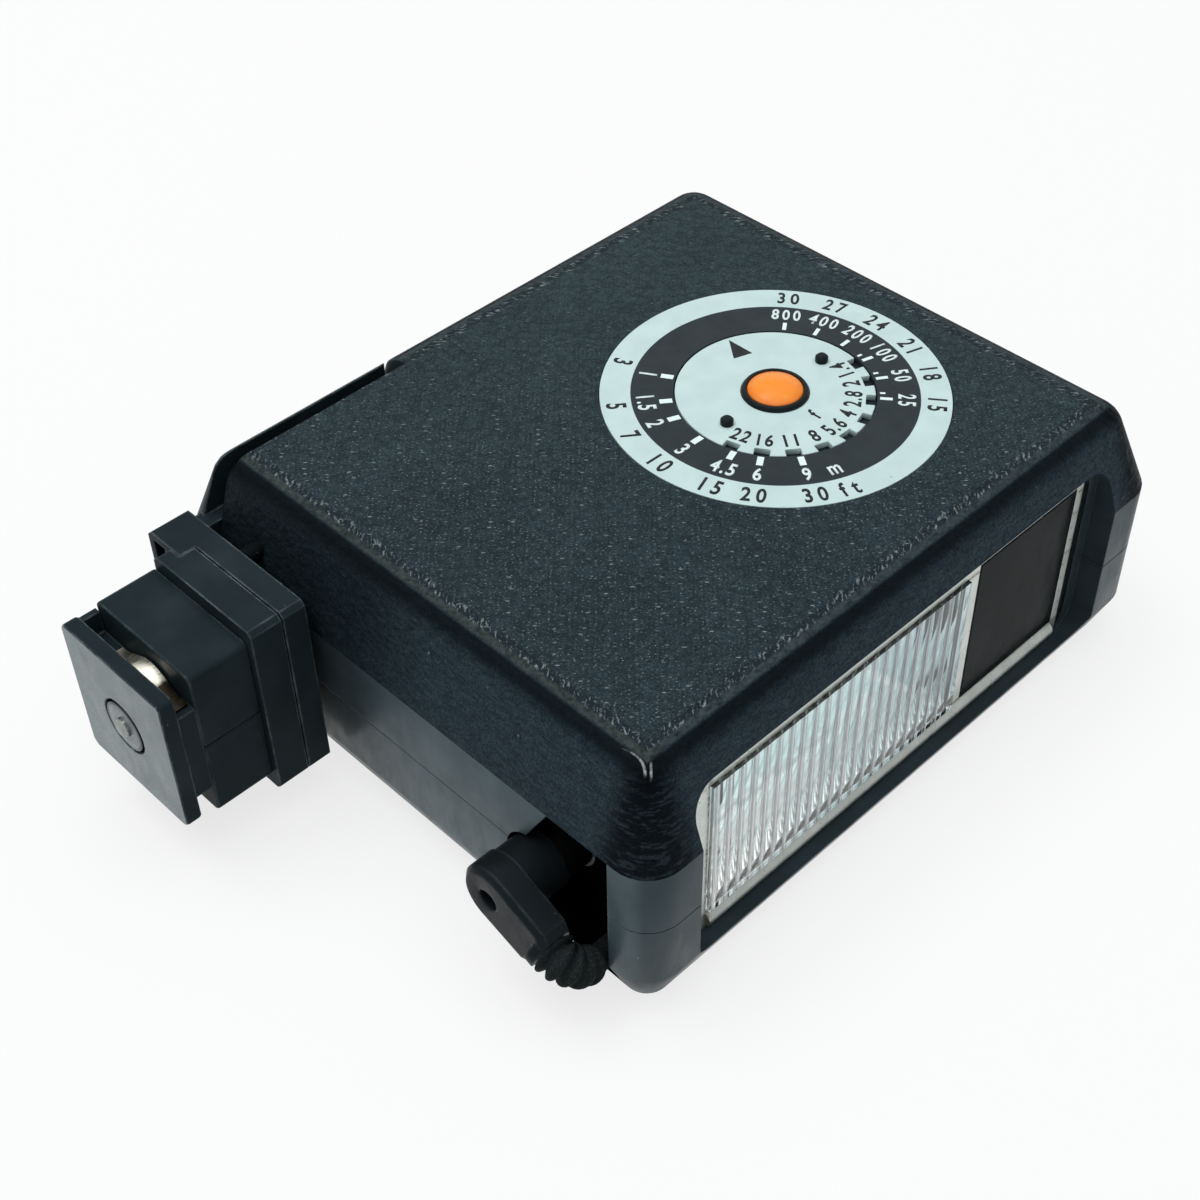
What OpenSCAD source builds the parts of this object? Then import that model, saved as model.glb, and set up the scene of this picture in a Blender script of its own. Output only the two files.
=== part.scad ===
// Compact electronic camera flash, lying on its plain side with the calculator dial up.
// X runs from the shoe foot (minus) to the far end, the flash window faces minus Y, Z is up.
// The origin is the centre of the face that the case rests on.

/* [Case] */
// Length of the case from the foot end to the far end
body_len = 84; // [80:0.5:96]
// Depth of the case from the window face to the rear face
body_depth = 74; // [72:0.5:86]
// Thickness of the case from the resting face to the dial face
body_thick = 33; // [32:0.5:38]
// Wall of both shells
wall = 2; // [1.6:0.1:2.4]
// Height of the parting line between the two shells
split_z = 13.8; // [12:0.2:15]
// Height of the lower border of the grained covering
grain_z = 22; // [21:0.25:24]
// How far the grained sides lean in from that border to the dial face
top_inset = 3.7; // [2:0.1:5]
// Rounding of the dial face's edges
top_round = 3.8; // [2.8:0.1:5]
// Radius of the upright corners
corner_r = 4.5; // [3.5:0.1:7]
// How far the lower edges are drawn in
base_inset = 2.3; // [1:0.1:3]
// Height over which they are drawn in
base_rise = 5.5; // [4:0.25:8]
// Width of the seam between the shells
seam = 0.15; // [0.1:0.05:0.3]

/* [Window] */
// Width of the window recess
recess_w = 67.9; // [65:0.1:69]
// Height of the window recess
recess_h = 25; // [24:0.2:26]
// Corner radius of the window recess
recess_r = 3.4; // [1:0.1:4]
// Middle of the window recess along X
recess_x = -0.45; // [-1.5:0.05:0.5]
// Height of the middle of the window recess
recess_z = 15.7; // [15.3:0.1:16]
// Depth of the window recess behind the case
recess_deep = 3; // [2.6:0.1:4]
// Ledge of the recess beside the frame's far end
frame_side = 1.6; // [1:0.1:2]
// Thickness of the bright frame
frame_t = 1.6; // [1.2:0.1:2.4]
// Width of the fluted lens
lens_w = 40.4; // [36:0.1:41]
// Height of the fluted lens
lens_h = 20; // [16:0.1:20.5]
// Foot end of the lens along X
lens_x0 = -30.4; // [-30.8:0.1:-29]
// Thickness of the lens
lens_t = 2.2; // [1.8:0.1:3]
// Number of flutes across the lens
flutes = 22; // [12:1:30]
// Depth of each flute
flute_deep = 0.5; // [0.2:0.05:0.7]
// Bar between the lens and the plate
bar_w = 1.8; // [1.2:0.1:2.2]
// Width of the plain plate
plate_w = 17.5; // [12:0.5:18]
// How far the plate stands above the lens
plate_rise = 0.8; // [0.4:0.1:1]

/* [Dial] */
// Middle of the dial along X
dial_x = 12.5; // [8:0.5:16]
// Middle of the dial along Y
dial_y = -3.7; // [-5:0.1:-1]
// Radius of the scale ring
ring_r = 19.8; // [17:0.1:21]
// Thickness of the scale ring
ring_t = 2; // [1.6:0.1:2.4]
// Radius of the turning disc
disc_r = 11.3; // [9:0.1:12]
// Thickness of the turning disc
disc_t = 0.8; // [0.6:0.1:1]
// Radius of each finger nub on the disc
nub_r = 0.75; // [0.5:0.05:1]
// Height of each finger nub
nub_h = 0.9; // [0.5:0.1:1.4]
// Distance of the nubs from the middle
nub_at = 8; // [6:0.1:8.5]
// Radius of the bezel's rim
bezel_r = 3.95; // [3.9:0.05:4.5]
// Radius of the test button
button_r = 3.2; // [2.8:0.1:3.2]
// Rise of the button's dome over the dial
dome_h = 1.3; // [0.8:0.1:1.8]
// Travel of the test button
button_travel = 1; // [0.5:0.1:1.5]

/* [Tilting foot] */
// Length of the rear recess that takes the tilting arm
arm_recess = 28.8; // [27:0.2:32]
// Depth of that recess from the rear face
arm_deep = 6.8; // [6.6:0.1:8]
// How far the tilting arm stands out over the foot end
arm_out = 0.8; // [0.2:0.1:1]
// Skin of the hollow tilting arm
arm_skin = 1.4; // [1.2:0.1:1.8]
// Gap that shows between the arm and the case
arm_gap = 2.2; // [1.4:0.1:2.4]
// Radius of the hinge pin
pin_r = 1.1; // [0.8:0.05:1.2]
// Gap between the case and the foot collar
collar_gap = 1.5; // [1.3:0.1:3]
// Height of the collar in Z
collar_h = 24.2; // [23:0.1:26]
// Depth of the collar in Y
collar_d = 17.1; // [16:0.1:18]
// Distance of the collar's near side from the window face
collar_y = 48.3; // [46:0.1:49]
// Thickness of the collar plate on the arm
collar_back = 2.9; // [2.5:0.1:4]
// Thickness of the collar plate on the foot
collar_front = 4.1; // [3:0.1:6]
// Length of the neck
neck_len = 7.4; // [6:0.1:10]
// Height of the neck in Z
neck_h = 20.6; // [19:0.1:22]
// Width of the shoe foot over its two edges
shoe_w = 18.6; // [18:0.05:18.6]
// Length of the shoe foot
shoe_len = 17.6; // [15:0.1:18]
// Thickness of the shoe foot
shoe_t = 1.9; // [1.6:0.05:2]
// Width of the two shoe grooves
groove_w = 2.2; // [2:0.05:2.6]
// Depth of the two shoe grooves
groove_deep = 3.2; // [2.5:0.1:3.5]
// Radius of the contact pin
contact_r = 1.1; // [0.8:0.05:1.3]
// How far the contact pin stands out of the foot
contact_out = 0.7; // [0.4:0.05:0.8]
// Radius of the insulating disc round the pin
insulator_r = 3.1; // [2.6:0.1:4]

/* [Sync plug] */
// Depth of the plug notch in the foot end
notch_deep = 8; // [6:0.25:9]
// Width of the plug notch at its top
notch_top = 8.3; // [7:0.1:10]
// Slant of the notch's rear side down to the resting face
notch_slant = 12.5; // [8:0.5:16]
// Distance of the notch from the window face
notch_y = 5.5; // [5.2:0.1:7]
// Height of the plug's middle
plug_z = 12.4; // [11.5:0.1:13]
// Distance of the plug's middle from the window face
plug_y = 16.1; // [15.5:0.1:17]
// Radius of the plug's rubber head
plug_r = 3.85; // [3.5:0.05:4.2]
// Thickness of the plug's rubber head
plug_len = 3.4; // [3:0.1:4]
// Reach of the head's side arm from the plug's middle
plug_reach = 7.7; // [7:0.1:8.5]
// Droop of that arm in degrees
plug_droop = 22; // [15:1:25]
// Length of the collar between the head and the barrel
plug_neck = 4.4; // [3.6:0.1:4.8]
// Distance of the head from the case
plug_off = 2.9; // [2.7:0.1:3.6]
// Radius of the plug's barrel
plug_barrel_r = 3.3; // [2.8:0.1:3.6]
// Radius of the lead
lead_r = 1.45; // [1.2:0.05:1.6]

/* [Power] */
// Diameter of one cell
cell_d = 14.2; // [14:0.1:14.5]
// Length of one cell
cell_len = 50.2; // [49.5:0.1:50.5]
// Thickness of the battery door
door_t = 1.7; // [1.4:0.1:1.8]
// Travel of the power switch
switch_travel = 4; // [3:0.25:5]
// Length of the power switch's thumb piece
thumb_len = 8; // [6:0.5:9]

/* [Hidden] */
fit = 0.1;
run = 0.06;
free = 0.3;
big = 200;
$fn = 48;
form_fn = 32;

foot_x = -body_len / 2;
front_y = -body_depth / 2;
rear_y = body_depth / 2;
draft = atan(top_inset / (body_thick - grain_z));
// Places the edge rounding so that it meets both the dial face and the leaning side
edge_in = (top_round + (body_thick - grain_z - top_round) * sin(draft)) / cos(draft);
base_flat = 0.5;
base_corner = 2.6;

panel_y = front_y + recess_deep;
window_back = panel_y + frame_t;
frame_w = recess_w - frame_side;
frame_x = recess_x - frame_side / 2;
lens_x = lens_x0 + lens_w / 2;
plate_x = lens_x0 + lens_w + bar_w + plate_w / 2;
flute_pitch = lens_w / flutes;
bead_r = (recess_h - lens_h) / 4 - fit;
bead_in = 0.5;
// Radius of a flute from its width and depth
flute_r = (flute_pitch * flute_pitch / 4 + flute_deep * flute_deep) / (2 * flute_deep);
reflector_deep = 10;
reflector_t = 0.6;
bowl_in = 2;
bowl_step = 0.6;
flare_len = 4;
reflector_mouth = window_back + free;
tube_r = 1.9;
tube_y = reflector_mouth + reflector_deep - 3.4;
tube_len = lens_w - 7;
tube_cap = 4;

dial_boss = 2;
dial_floor = body_thick - ring_t;
disc_lift = 0.1;
disc_z = body_thick - disc_lift / 2 - disc_t;
bezel_lip = 0.5;
button_wall = 0.9;
hub_r = bezel_r - 0.35;
hub_bore = button_r + run;
hub_base = dial_floor - dial_boss - 2.6;
hub_nut_h = 1.4;
button_flange = 0.9;
button_stop = hub_base - fit;
board_z = 20;
board_t = 1.6;
board_top = board_z + board_t;
lamp_r = 1.9;
spring_wire = 0.25;

arm_wall_y = rear_y - arm_deep;
arm_in_y = arm_wall_y + arm_gap;
arm_half = (rear_y - arm_in_y) / 2;
recess_end = foot_x + arm_recess;
hinge_x = recess_end - free - arm_half;
hinge_y = arm_in_y + arm_half;
arm_end = hinge_x - arm_half - free;
arm_base = 0.5;
arm_rib = 1.2;
knuckle_r = arm_half - fit;
knuckle_h = 4;
knuckle_z0 = split_z - knuckle_h;
knuckle_z1 = split_z + knuckle_h;
pin_z0 = base_rise - 2.3;
pin_z1 = grain_z + 2;

mid_z = body_thick / 2;
collar_x1 = foot_x - collar_gap;
collar_x0 = collar_x1 - collar_back;
neck_x1 = collar_x0 - collar_front;
neck_x0 = neck_x1 - neck_len;
waist_x0 = neck_x0 - groove_w;
shoe_x0 = waist_x0 - shoe_t;
collar_y0 = front_y + collar_y;
collar_y1 = collar_y0 + collar_d;
neck_y0 = collar_y0 + 0.9;
neck_d = collar_d - 0.4;
shoe_y0 = neck_y0 - 0.2;
contact_y = shoe_y0 + shoe_len / 2;
collar_edge = 0.6;
collar_seam = 0.2;
collar_core = 0.35;
tab_y1 = arm_in_y - fit;
joint_t = 1.8;
joint_drop = 2.6;
joint_in = 0.7;
stop_t = 0.8;
stop_in = 0.3;
shoe_edge = 0.4;
leaf_len = 11.6;
leaf_at = 1.1;
leaf_bow = 2;
leaf_t = 0.3;
tab_len = 2.2;
tab_hold = 2.1;
tab_wall = 0.9;
insulator_stem = contact_r + 1.2;
stem_x1 = neck_x0 + 3.2;
contact_back = 2.2;

notch_y0 = front_y + notch_y;
notch_y1 = notch_y0 + notch_top;
notch_x1 = foot_x + notch_deep;
notch_wall = 1.4;
notch_base = 1.4;
plug_py = front_y + plug_y;
head_x1 = foot_x - plug_off;
head_x0 = head_x1 - plug_len;
barrel_x0 = head_x1 + plug_neck;
plug_barrel_len = 4.6;
barrel_lip = 0.35;
plug_edge = 0.6;
plug_tip_w = 7.2;
plug_collar_r = 3.6;
plug_hole_r = 1.3;
plug_hole = 2.4;
plug_lip_r = 2.5;
plug_lip = 1.2;
relief_r = 2.4;
relief_end_r = 1.9;
relief_ribs = 4;
relief_groove = 0.55;
// Middle line of the bent strain relief and the lead, as steps from the tip of the plug's arm
relief_path = [[0, -0.23, -0.09], [0, -1.66, -0.67], [1, -2.66, -2.02], [3.2, -2.26, -3.52]];
lead_path = [[3.4, -2.23, -3.64], [4, -2.14, -3.99], [5.1, -1.72, -4.6], [8.2, -1.3, -5.42],
             [11.5, -1.16, -5.52]];

bay_wall = 1.2;
cell_gap = 0.4;
contact_t = 0.4;
contact_room = 2.6;
bay_clear = 2.4;
cell_z = wall + bay_wall + cell_gap + cell_d / 2;
cell_y1 = arm_wall_y - wall - bay_clear - bay_wall - cell_gap - cell_d / 2;
cell_y0 = cell_y1 - cell_d - cell_gap;
bay_y0 = cell_y0 - cell_d / 2 - cell_gap;
bay_y1 = cell_y1 + cell_d / 2 + cell_gap;
far_x = body_len / 2;
door_in = far_x - door_t;
// Inside of the battery door at a height, drawn in towards the resting face as the case is
function door_face(z) = door_in - base_inset * max(0, base_rise - z) / (base_rise - door_t - base_flat);
cell_x1 = door_face(cell_z - cell_d / 2) - free;
cell_x0 = cell_x1 - cell_len;
bay_x0 = cell_x0 - contact_room;
bay_x1 = far_x - wall - base_inset - fit;
bay_top = cell_z + cell_d / 2 + cell_gap;
door_pin_r = 0.6;
door_barrel_r = 1.2;
door_hinge_x = far_x - door_barrel_r - 0.05;
door_hinge_z = bay_top + 0.4;
door_z0 = wall + 0.4;
door_y0 = bay_y0 + free;
door_y1 = bay_y1 - free;

cap_clear = 0.65;
cap_r = (bay_y0 - bay_wall - reflector_mouth - reflector_deep) / 2 - cap_clear;
cap_len = 34;
cap_crimp = 0.7;
cap_groove = 1.6;
cap_cover = 3.4;
cap_lip = 0.6;
trigger_r = 3.6;
trigger_flange = 1;
trigger_wind_r = 2.9;
trigger_wind = 7;
core_x = 15;
core_y = 9;
core_len = 16;
core_w = 14;
core_h = 13;
core_flange = 2.5;
core_wind_r = 6;
cell_plate = 10;
cell_spring_r = 3.4;
cell_spring_wire = 0.4;
cell_nub_r = 2.6;
cell_nub = 1.4;
bridge_over = 4;
bridge_h = 6;
bridge_boss_r = 2.4;
grommet_wall = 0.6;
cap_y = (reflector_mouth + reflector_deep + bay_y0 - bay_wall) / 2;
cap_z = wall + free + cap_r;
cap_x0 = notch_x1 + notch_wall + 1;

board_x0 = foot_x + wall + 4;
board_x1 = far_x - wall - 4;
board_y0 = dial_y - 9;
board_y1 = arm_wall_y - wall - free;

switch_x = 14;
switch_z = (split_z + grain_z) / 2;
slot_h = 3.2;
switch_side = 3;
switch_deep = 6;
switch_h = 8;
switch_floor = 2;
thumb_h = 5;
thumb_out = 1.2;
thumb_neck = 4;

screw_r = 1.1;
screw_head_r = 2;
screw_head_h = 1.2;
screw_post_r = 2.6;
screws = [[far_x - 6.5, rear_y - 6.5], [far_x - 6.5, front_y + 10],
          [recess_end + 8, rear_y - 5.5], [plate_x - plate_w / 2 + 5, front_y + 10]];
stud_r = 0.95;
stud_y = collar_y0 + 12.2;
stud_z = mid_z + collar_h / 2 - 2.35;

black = [0.1, 0.11, 0.12];
satin = [0.2, 0.22, 0.23];
bright = [0.8, 0.82, 0.8];
mint = [0.82, 0.9, 0.9];
brass = [0.75, 0.62, 0.35];

// Repeats a shape at the four upright corners of a w by d outline
module at_corners(w, d, r) {
    for (sx = [-1, 1], sy = [-1, 1])
        translate([sx * (w / 2 - r), sy * (d / 2 - r), 0]) children();
}

// The case's outer form, or its inner form when drawn in by s
module case_form(s) {
    band_r = corner_r - s;
    dome_r = top_round - s;
    hull() {
        at_corners(body_len - 2 * s, body_depth - 2 * s, band_r)
            translate([0, 0, base_rise]) cylinder(r = band_r, h = grain_z - base_rise, $fn = form_fn);
        at_corners(body_len - 2 * edge_in, body_depth - 2 * edge_in, 0)
            translate([0, 0, body_thick - top_round]) sphere(r = dome_r, $fn = form_fn);
        at_corners(body_len - 2 * (base_inset + s), body_depth - 2 * (base_inset + s), base_corner)
            translate([0, 0, s]) cylinder(r = base_corner, h = base_flat, $fn = form_fn);
    }
}

// A box given by its two corners
module box(a, b) {
    translate(a) cube(b - a);
}

// A prism with four rounded corners, w along X and h along Z, running along Y from y0 to y1
module round_prism(w, h, r, y0, y1) {
    translate([0, y1, 0]) rotate([90, 0, 0]) linear_extrude(y1 - y0) {
        square([w - 2 * r, h], center = true);
        square([w, h - 2 * r], center = true);
        for (sx = [-1, 1], sy = [-1, 1])
            translate([sx * (w / 2 - r), sy * (h / 2 - r)]) circle(r);
    }
}

// A round bar along X
module bar_x(r, x0, x1) {
    translate([x0, 0, 0]) rotate([0, 90, 0]) cylinder(r = r, h = x1 - x0);
}

// The window recess, grown by g, from the front to the depth y1
module window_cut(g, y1) {
    translate([recess_x, 0, recess_z])
        round_prism(recess_w + 2 * g, recess_h + 2 * g, recess_r + g, front_y - 1, y1);
}

// The frame's outline in that recess, grown by g
module frame_block(g, y0, y1) {
    translate([frame_x, 0, recess_z]) round_prism(frame_w + 2 * g, recess_h + 2 * g, recess_r + g, y0, y1);
}

// The plug notch above z0 and the round socket in it where the plug is parked, grown by g to give their walls
module notch_cut(g, x1, z0) {
    low = notch_y1 + notch_slant * (grain_z - z0) / grain_z;
    translate([x1, 0, 0]) rotate([90, 0, -90]) linear_extrude(x1 - foot_x + 1)
        polygon([[-notch_y0 + g, z0], [-notch_y0 + g, grain_z + g], [-notch_y1 - g, grain_z + g],
                 [-low - g, z0]]);
    translate([0, plug_py, plug_z]) bar_x(plug_barrel_r + barrel_lip + free + g, foot_x - 1, x1);
}

// The recess that takes the tilting arm, grown by g to give its walls
module arm_cut(g) {
    box([foot_x - 1, arm_wall_y - g, -1], [recess_end + g, rear_y + 1, body_thick + 1]);
}

// The knuckle at the recess's end that holds the hinge pin, one half on each shell
module case_knuckle() difference() {
    union() {
        translate([hinge_x, hinge_y, knuckle_z0]) cylinder(r = knuckle_r, h = knuckle_z1 - knuckle_z0);
        box([hinge_x, hinge_y - knuckle_r, knuckle_z0], [recess_end + 1, hinge_y + knuckle_r, knuckle_z1]);
    }
    translate([hinge_x, hinge_y, 0]) cylinder(r = pin_r + fit / 2, h = body_thick);
}

// Upper shell: grained top, window tunnel, dial boss, screw posts and the upper half of every recess
module upper_shell() color(black) intersection() {
    case_form(0);
    difference() {
        union() {
            difference() {
                box([-big, -big, split_z], [big, big, big]);
                case_form(wall);
            }
            intersection() {
                box([-big, -big, split_z], [big, big, big]);
                union() {
                    window_cut(wall / 2, window_back);
                    notch_cut(notch_wall, notch_x1 + notch_wall, -1);
                    arm_cut(wall);
                }
            }
            translate([dial_x, dial_y, dial_floor - dial_boss])
                cylinder(r = ring_r + wall / 2, h = dial_boss + ring_t);
            for (p = screws)
                translate([p[0], p[1], split_z])
                    cylinder(r = screw_post_r, h = body_thick - split_z - wall / 2);
            for (y = [bay_y0 - 3, bay_y1])
                box([door_hinge_x - 2, y, door_hinge_z - 2], [far_x + 1, y + 3, door_hinge_z + 2]);
        }
        window_cut(0, panel_y);
        frame_block(0, front_y, window_back + 1);
        notch_cut(0, notch_x1, notch_base);
        difference() {
            arm_cut(0);
            case_knuckle();
        }
        translate([dial_x, dial_y, dial_floor]) cylinder(r = ring_r + fit, h = ring_t + 1);
        translate([dial_x, dial_y, 0]) cylinder(r = hub_r + fit, h = body_thick);
        box([switch_x - thumb_neck / 2 - free, rear_y - wall - 1, switch_z - slot_h / 2],
            [switch_x + thumb_neck / 2 + switch_travel + free, rear_y + 1, switch_z + slot_h / 2]);
        for (p = screws)
            translate([p[0], p[1], 0]) cylinder(r = screw_r, h = split_z + 9);
        translate([0, stud_y, stud_z]) bar_x(stud_r + fit / 2, foot_x - 1, foot_x + 5);
        door_way();
        translate([door_hinge_x, bay_y0 - 2, door_hinge_z]) rotate([-90, 0, 0])
            cylinder(r = door_pin_r + fit / 2, h = bay_y1 - bay_y0 + 4);
    }
}

// Lower shell: plain resting face with the battery opening and the lower half of every recess
module lower_shell() color(satin) intersection() {
    case_form(0);
    difference() {
        union() {
            difference() {
                box([-big, -big, -1], [big, big, split_z - seam]);
                case_form(wall);
            }
            intersection() {
                box([-big, -big, -1], [big, big, split_z - seam]);
                union() {
                    window_cut(wall / 2, window_back);
                    notch_cut(notch_wall, notch_x1 + notch_wall, -1);
                    arm_cut(wall);
                }
            }
            for (p = screws)
                translate([p[0], p[1], 0]) cylinder(r = screw_post_r, h = split_z - seam);
            for (y = [cap_y + cap_r + 5, bay_y1 - 3])
                translate([board_x0 + 3, y, wall / 2]) cylinder(r = 2, h = board_z - wall / 2);
        }
        window_cut(0, panel_y);
        frame_block(0, front_y, window_back + 1);
        notch_cut(0, notch_x1, notch_base);
        difference() {
            arm_cut(0);
            case_knuckle();
        }
        door_way();
        for (p = screws) {
            translate([p[0], p[1], -1]) cylinder(r = screw_r + fit, h = split_z + 2);
            translate([p[0], p[1], -1]) cylinder(r = screw_head_r + free, h = 1.4 + screw_head_h);
        }
    }
}

// Way through the far end for the battery door
module door_way() {
    box([far_x - wall - 2, bay_y0, door_z0 - 0.4], [far_x + 1, bay_y1, door_hinge_z + door_barrel_r + free]);
}

// Bright frame with openings for the lens and the plate and a round bead along its lower rail
module window_frame() color(bright) difference() {
    union() {
        frame_block(-fit, panel_y, window_back);
        translate([0, panel_y + bead_in, recess_z - lens_h / 2 - bead_r - fit])
            bar_x(bead_r, lens_x0, plate_x + plate_w / 2);
    }
    window_slot(lens_x, lens_w, 0);
    window_slot(plate_x, plate_w, plate_rise);
}

module window_slot(x, w, rise) {
    z0 = recess_z - lens_h / 2;
    box([x - w / 2, panel_y - 1, z0], [x + w / 2, window_back + 1, z0 + lens_h + rise]);
}

// Clear lens, smooth in front, with upright flutes on its back
module window_lens() color([0.8, 0.9, 0.9, 0.5]) difference() {
    y0 = panel_y - 0.4;
    box([lens_x0 + fit, y0, recess_z - lens_h / 2 + fit],
        [lens_x0 + lens_w - fit, y0 + lens_t, recess_z + lens_h / 2 - fit]);
    for (i = [0 : flutes - 1])
        translate([lens_x0 + (i + 0.5) * flute_pitch, y0 + lens_t + flute_r - flute_deep, 0])
            cylinder(r = flute_r, h = body_thick);
}

module window_plate() color(black)
    box([plate_x - plate_w / 2 + fit, panel_y - 0.1, recess_z - lens_h / 2 + fit],
        [plate_x + plate_w / 2 - fit, window_back, recess_z + lens_h / 2 + plate_rise - fit]);

// Bright trough behind the lens, a round-backed section closed by two end cheeks
module reflector() color(bright) difference() {
    reflector_block(0, lens_x0, lens_x0 + lens_w);
    reflector_block(reflector_t, lens_x0 + reflector_t, lens_x0 + lens_w - reflector_t);
    translate([0, tube_y, recess_z]) bar_x(tube_r + fit, lens_x0 - 1, lens_x0 + lens_w + 1);
}

// A bar of the trough's section drawn in by s: a bowl behind, flaring to the lens's height in front
module reflector_block(s, x0, x1) {
    bowl_r = reflector_deep - bowl_in;
    flare_h = bowl_r - bowl_step - s;
    translate([x0, 0, recess_z]) rotate([90, 0, 90]) {
        linear_extrude(x1 - x0) intersection() {
            translate([reflector_mouth + bowl_in, 0]) circle(bowl_r - s);
            translate([reflector_mouth + bowl_in, -lens_h]) square([reflector_deep, 2 * lens_h]);
        }
        linear_extrude(x1 - x0)
            polygon([[reflector_mouth - s, -lens_h / 2 + s], [reflector_mouth - s, lens_h / 2 - s],
                     [reflector_mouth + flare_len, flare_h], [reflector_mouth + flare_len, -flare_h]]);
    }
}

module flash_tube() color([0.9, 0.95, 1, 0.6])
    translate([0, tube_y, recess_z]) bar_x(tube_r, lens_x - tube_len / 2, lens_x + tube_len / 2);

// Rubber end caps that hold the tube in the reflector's cheeks
module tube_caps() color(black) translate([0, tube_y, recess_z]) {
    x1 = lens_x0 + lens_w;
    bar_x(tube_r, lens_x0 - tube_cap / 2, lens_x - tube_len / 2);
    bar_x(tube_r, lens_x + tube_len / 2, x1 + tube_cap / 2);
}

// Small trigger coil that hangs under the board
module trigger_coil() color("saddlebrown")
    translate([cap_x0 + cap_len + trigger_r + 2.4, board_y0 + 2.4, board_z]) rotate([0, 180, 0]) {
        cylinder(r = trigger_r, h = trigger_flange);
        cylinder(r = trigger_wind_r, h = trigger_wind + trigger_flange);
        translate([0, 0, trigger_wind + trigger_flange]) cylinder(r = trigger_r, h = trigger_flange);
    }

// Photoflash capacitor in its sleeve, with a crimped groove at one end
module main_capacitor() color("midnightblue") translate([cap_x0, cap_y, cap_z])
    rotate([0, 90, 0]) rotate_extrude() {
        square([cap_r - cap_crimp, cap_len]);
        square([cap_r, cap_len - cap_cover - cap_groove]);
        translate([0, cap_len - cap_cover]) square([cap_r, cap_cover - cap_lip]);
    }

module circuit_board() color("darkgreen") difference() {
    box([board_x0, board_y0, board_z], [board_x1, board_y1, board_top]);
    for (p = screws)
        translate([p[0], p[1], 0]) cylinder(r = screw_post_r + free, h = body_thick);
}

// Converter transformer: core, bobbin flanges and winding
module transformer() color("peru") translate([foot_x + core_x, cell_y0 + core_y, 0]) {
    for (z = [board_z - core_h, board_z - core_flange])
        translate([-core_len / 2, -core_w / 2, z]) cube([core_len, core_w, core_flange]);
    translate([0, 0, board_z - core_h]) cylinder(r = core_wind_r, h = core_h);
}

// Fixed scale ring with the seat for the turning disc
module dial_ring() color(mint) translate([dial_x, dial_y, dial_floor]) difference() {
    cylinder(r = ring_r, h = ring_t, $fn = 96);
    translate([0, 0, disc_z - disc_lift / 2 - dial_floor])
        cylinder(r = disc_r + free / 2, h = ring_t, $fn = 96);
    translate([0, 0, -1]) cylinder(r = hub_r + fit, h = ring_t + 2);
}

// Dark bezel: a rim over the disc on a tube that guides the button
module dial_bezel() color(black) translate([dial_x, dial_y, 0]) difference() {
    union() {
        translate([0, 0, hub_base]) cylinder(r = hub_r, h = body_thick - hub_base + bezel_lip);
        translate([0, 0, body_thick]) cylinder(r1 = bezel_r, r2 = bezel_r - 0.3, h = bezel_lip);
    }
    translate([0, 0, hub_base - 1]) cylinder(r = hub_bore, h = body_thick);
}

module bezel_nut() color(brass) translate([dial_x, dial_y, dial_floor - dial_boss - hub_nut_h]) difference() {
    cylinder(r = hub_r + 2.2, h = hub_nut_h, $fn = 6);
    translate([0, 0, -1]) cylinder(r = hub_r, h = hub_nut_h + 2);
}

// Turning calculator disc with nine reading notches in its rim
module calculator_disc() color(mint) translate([dial_x, dial_y, disc_z]) difference() {
    cylinder(r = disc_r, h = disc_t, $fn = 96);
    translate([0, 0, -1]) cylinder(r = hub_r + run, h = disc_t + 2);
    for (i = [0 : 8])
        rotate(-164.5 + 18.5 * i) translate([disc_r - 0.3, 0, disc_t / 2])
            cube([1.6, 1.8, disc_t + 2], center = true);
}

module disc_nubs() color(black) translate([dial_x, dial_y, disc_z + disc_t])
    for (a = [0, 180])
        rotate(a) translate([nub_at, 0, 0]) {
            cylinder(r = nub_r, h = nub_h - 0.3);
            translate([0, 0, nub_h - 0.3]) cylinder(r1 = nub_r, r2 = nub_r - 0.3, h = 0.3);
        }

// Orange test button, a hollow dome over the ready lamp with a stop flange below
module test_button() color("darkorange") translate([dial_x, dial_y, 0]) difference() {
    rotate_extrude() {
        translate([0, button_stop - button_flange]) square([button_r + 1, button_flange]);
        translate([0, button_stop - button_flange])
            square([button_r, body_thick - button_stop + button_flange]);
        intersection() {
            dome_r = (button_r * button_r + dome_h * dome_h) / (2 * dome_h);
            translate([0, body_thick + dome_h - dome_r]) circle(dome_r, $fn = 96);
            translate([0, body_thick]) square([button_r, dome_h]);
        }
    }
    translate([0, 0, button_stop - button_flange - 1])
        cylinder(r = button_r - button_wall, h = body_thick - button_stop + button_flange - 0.6);
}

// A coil of round wire standing on z0, with flat closed ends left to the wire's own thickness
module coil(r, wire, z0, z1, turns) {
    steps = 10 * turns;
    path = [for (i = [0 : steps])
        [r * cos(36 * i), r * sin(36 * i), z0 + wire + (z1 - z0 - 2 * wire) * i / steps]];
    sweep(path, [for (p = path) wire], 6);
}

// Sweeps a round section along points, with its own radius at each
module sweep(path, radii, sides) {
    n = len(path);
    rings = [for (i = [0 : n - 1]) ring_at(path, radii[i], i, sides)];
    points = [for (r = rings, p = r) p];
    skin = [for (i = [0 : n - 2], j = [0 : sides - 1]) each
        [[i * sides + j, i * sides + (j + 1) % sides, (i + 1) * sides + j],
         [i * sides + (j + 1) % sides, (i + 1) * sides + (j + 1) % sides, (i + 1) * sides + j]]];
    first = [for (j = [1 : sides - 2]) [0, j + 1, j]];
    last = [for (j = [1 : sides - 2]) [(n - 1) * sides, (n - 1) * sides + j, (n - 1) * sides + j + 1]];
    polyhedron(points, concat(skin, first, last));
}

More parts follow.
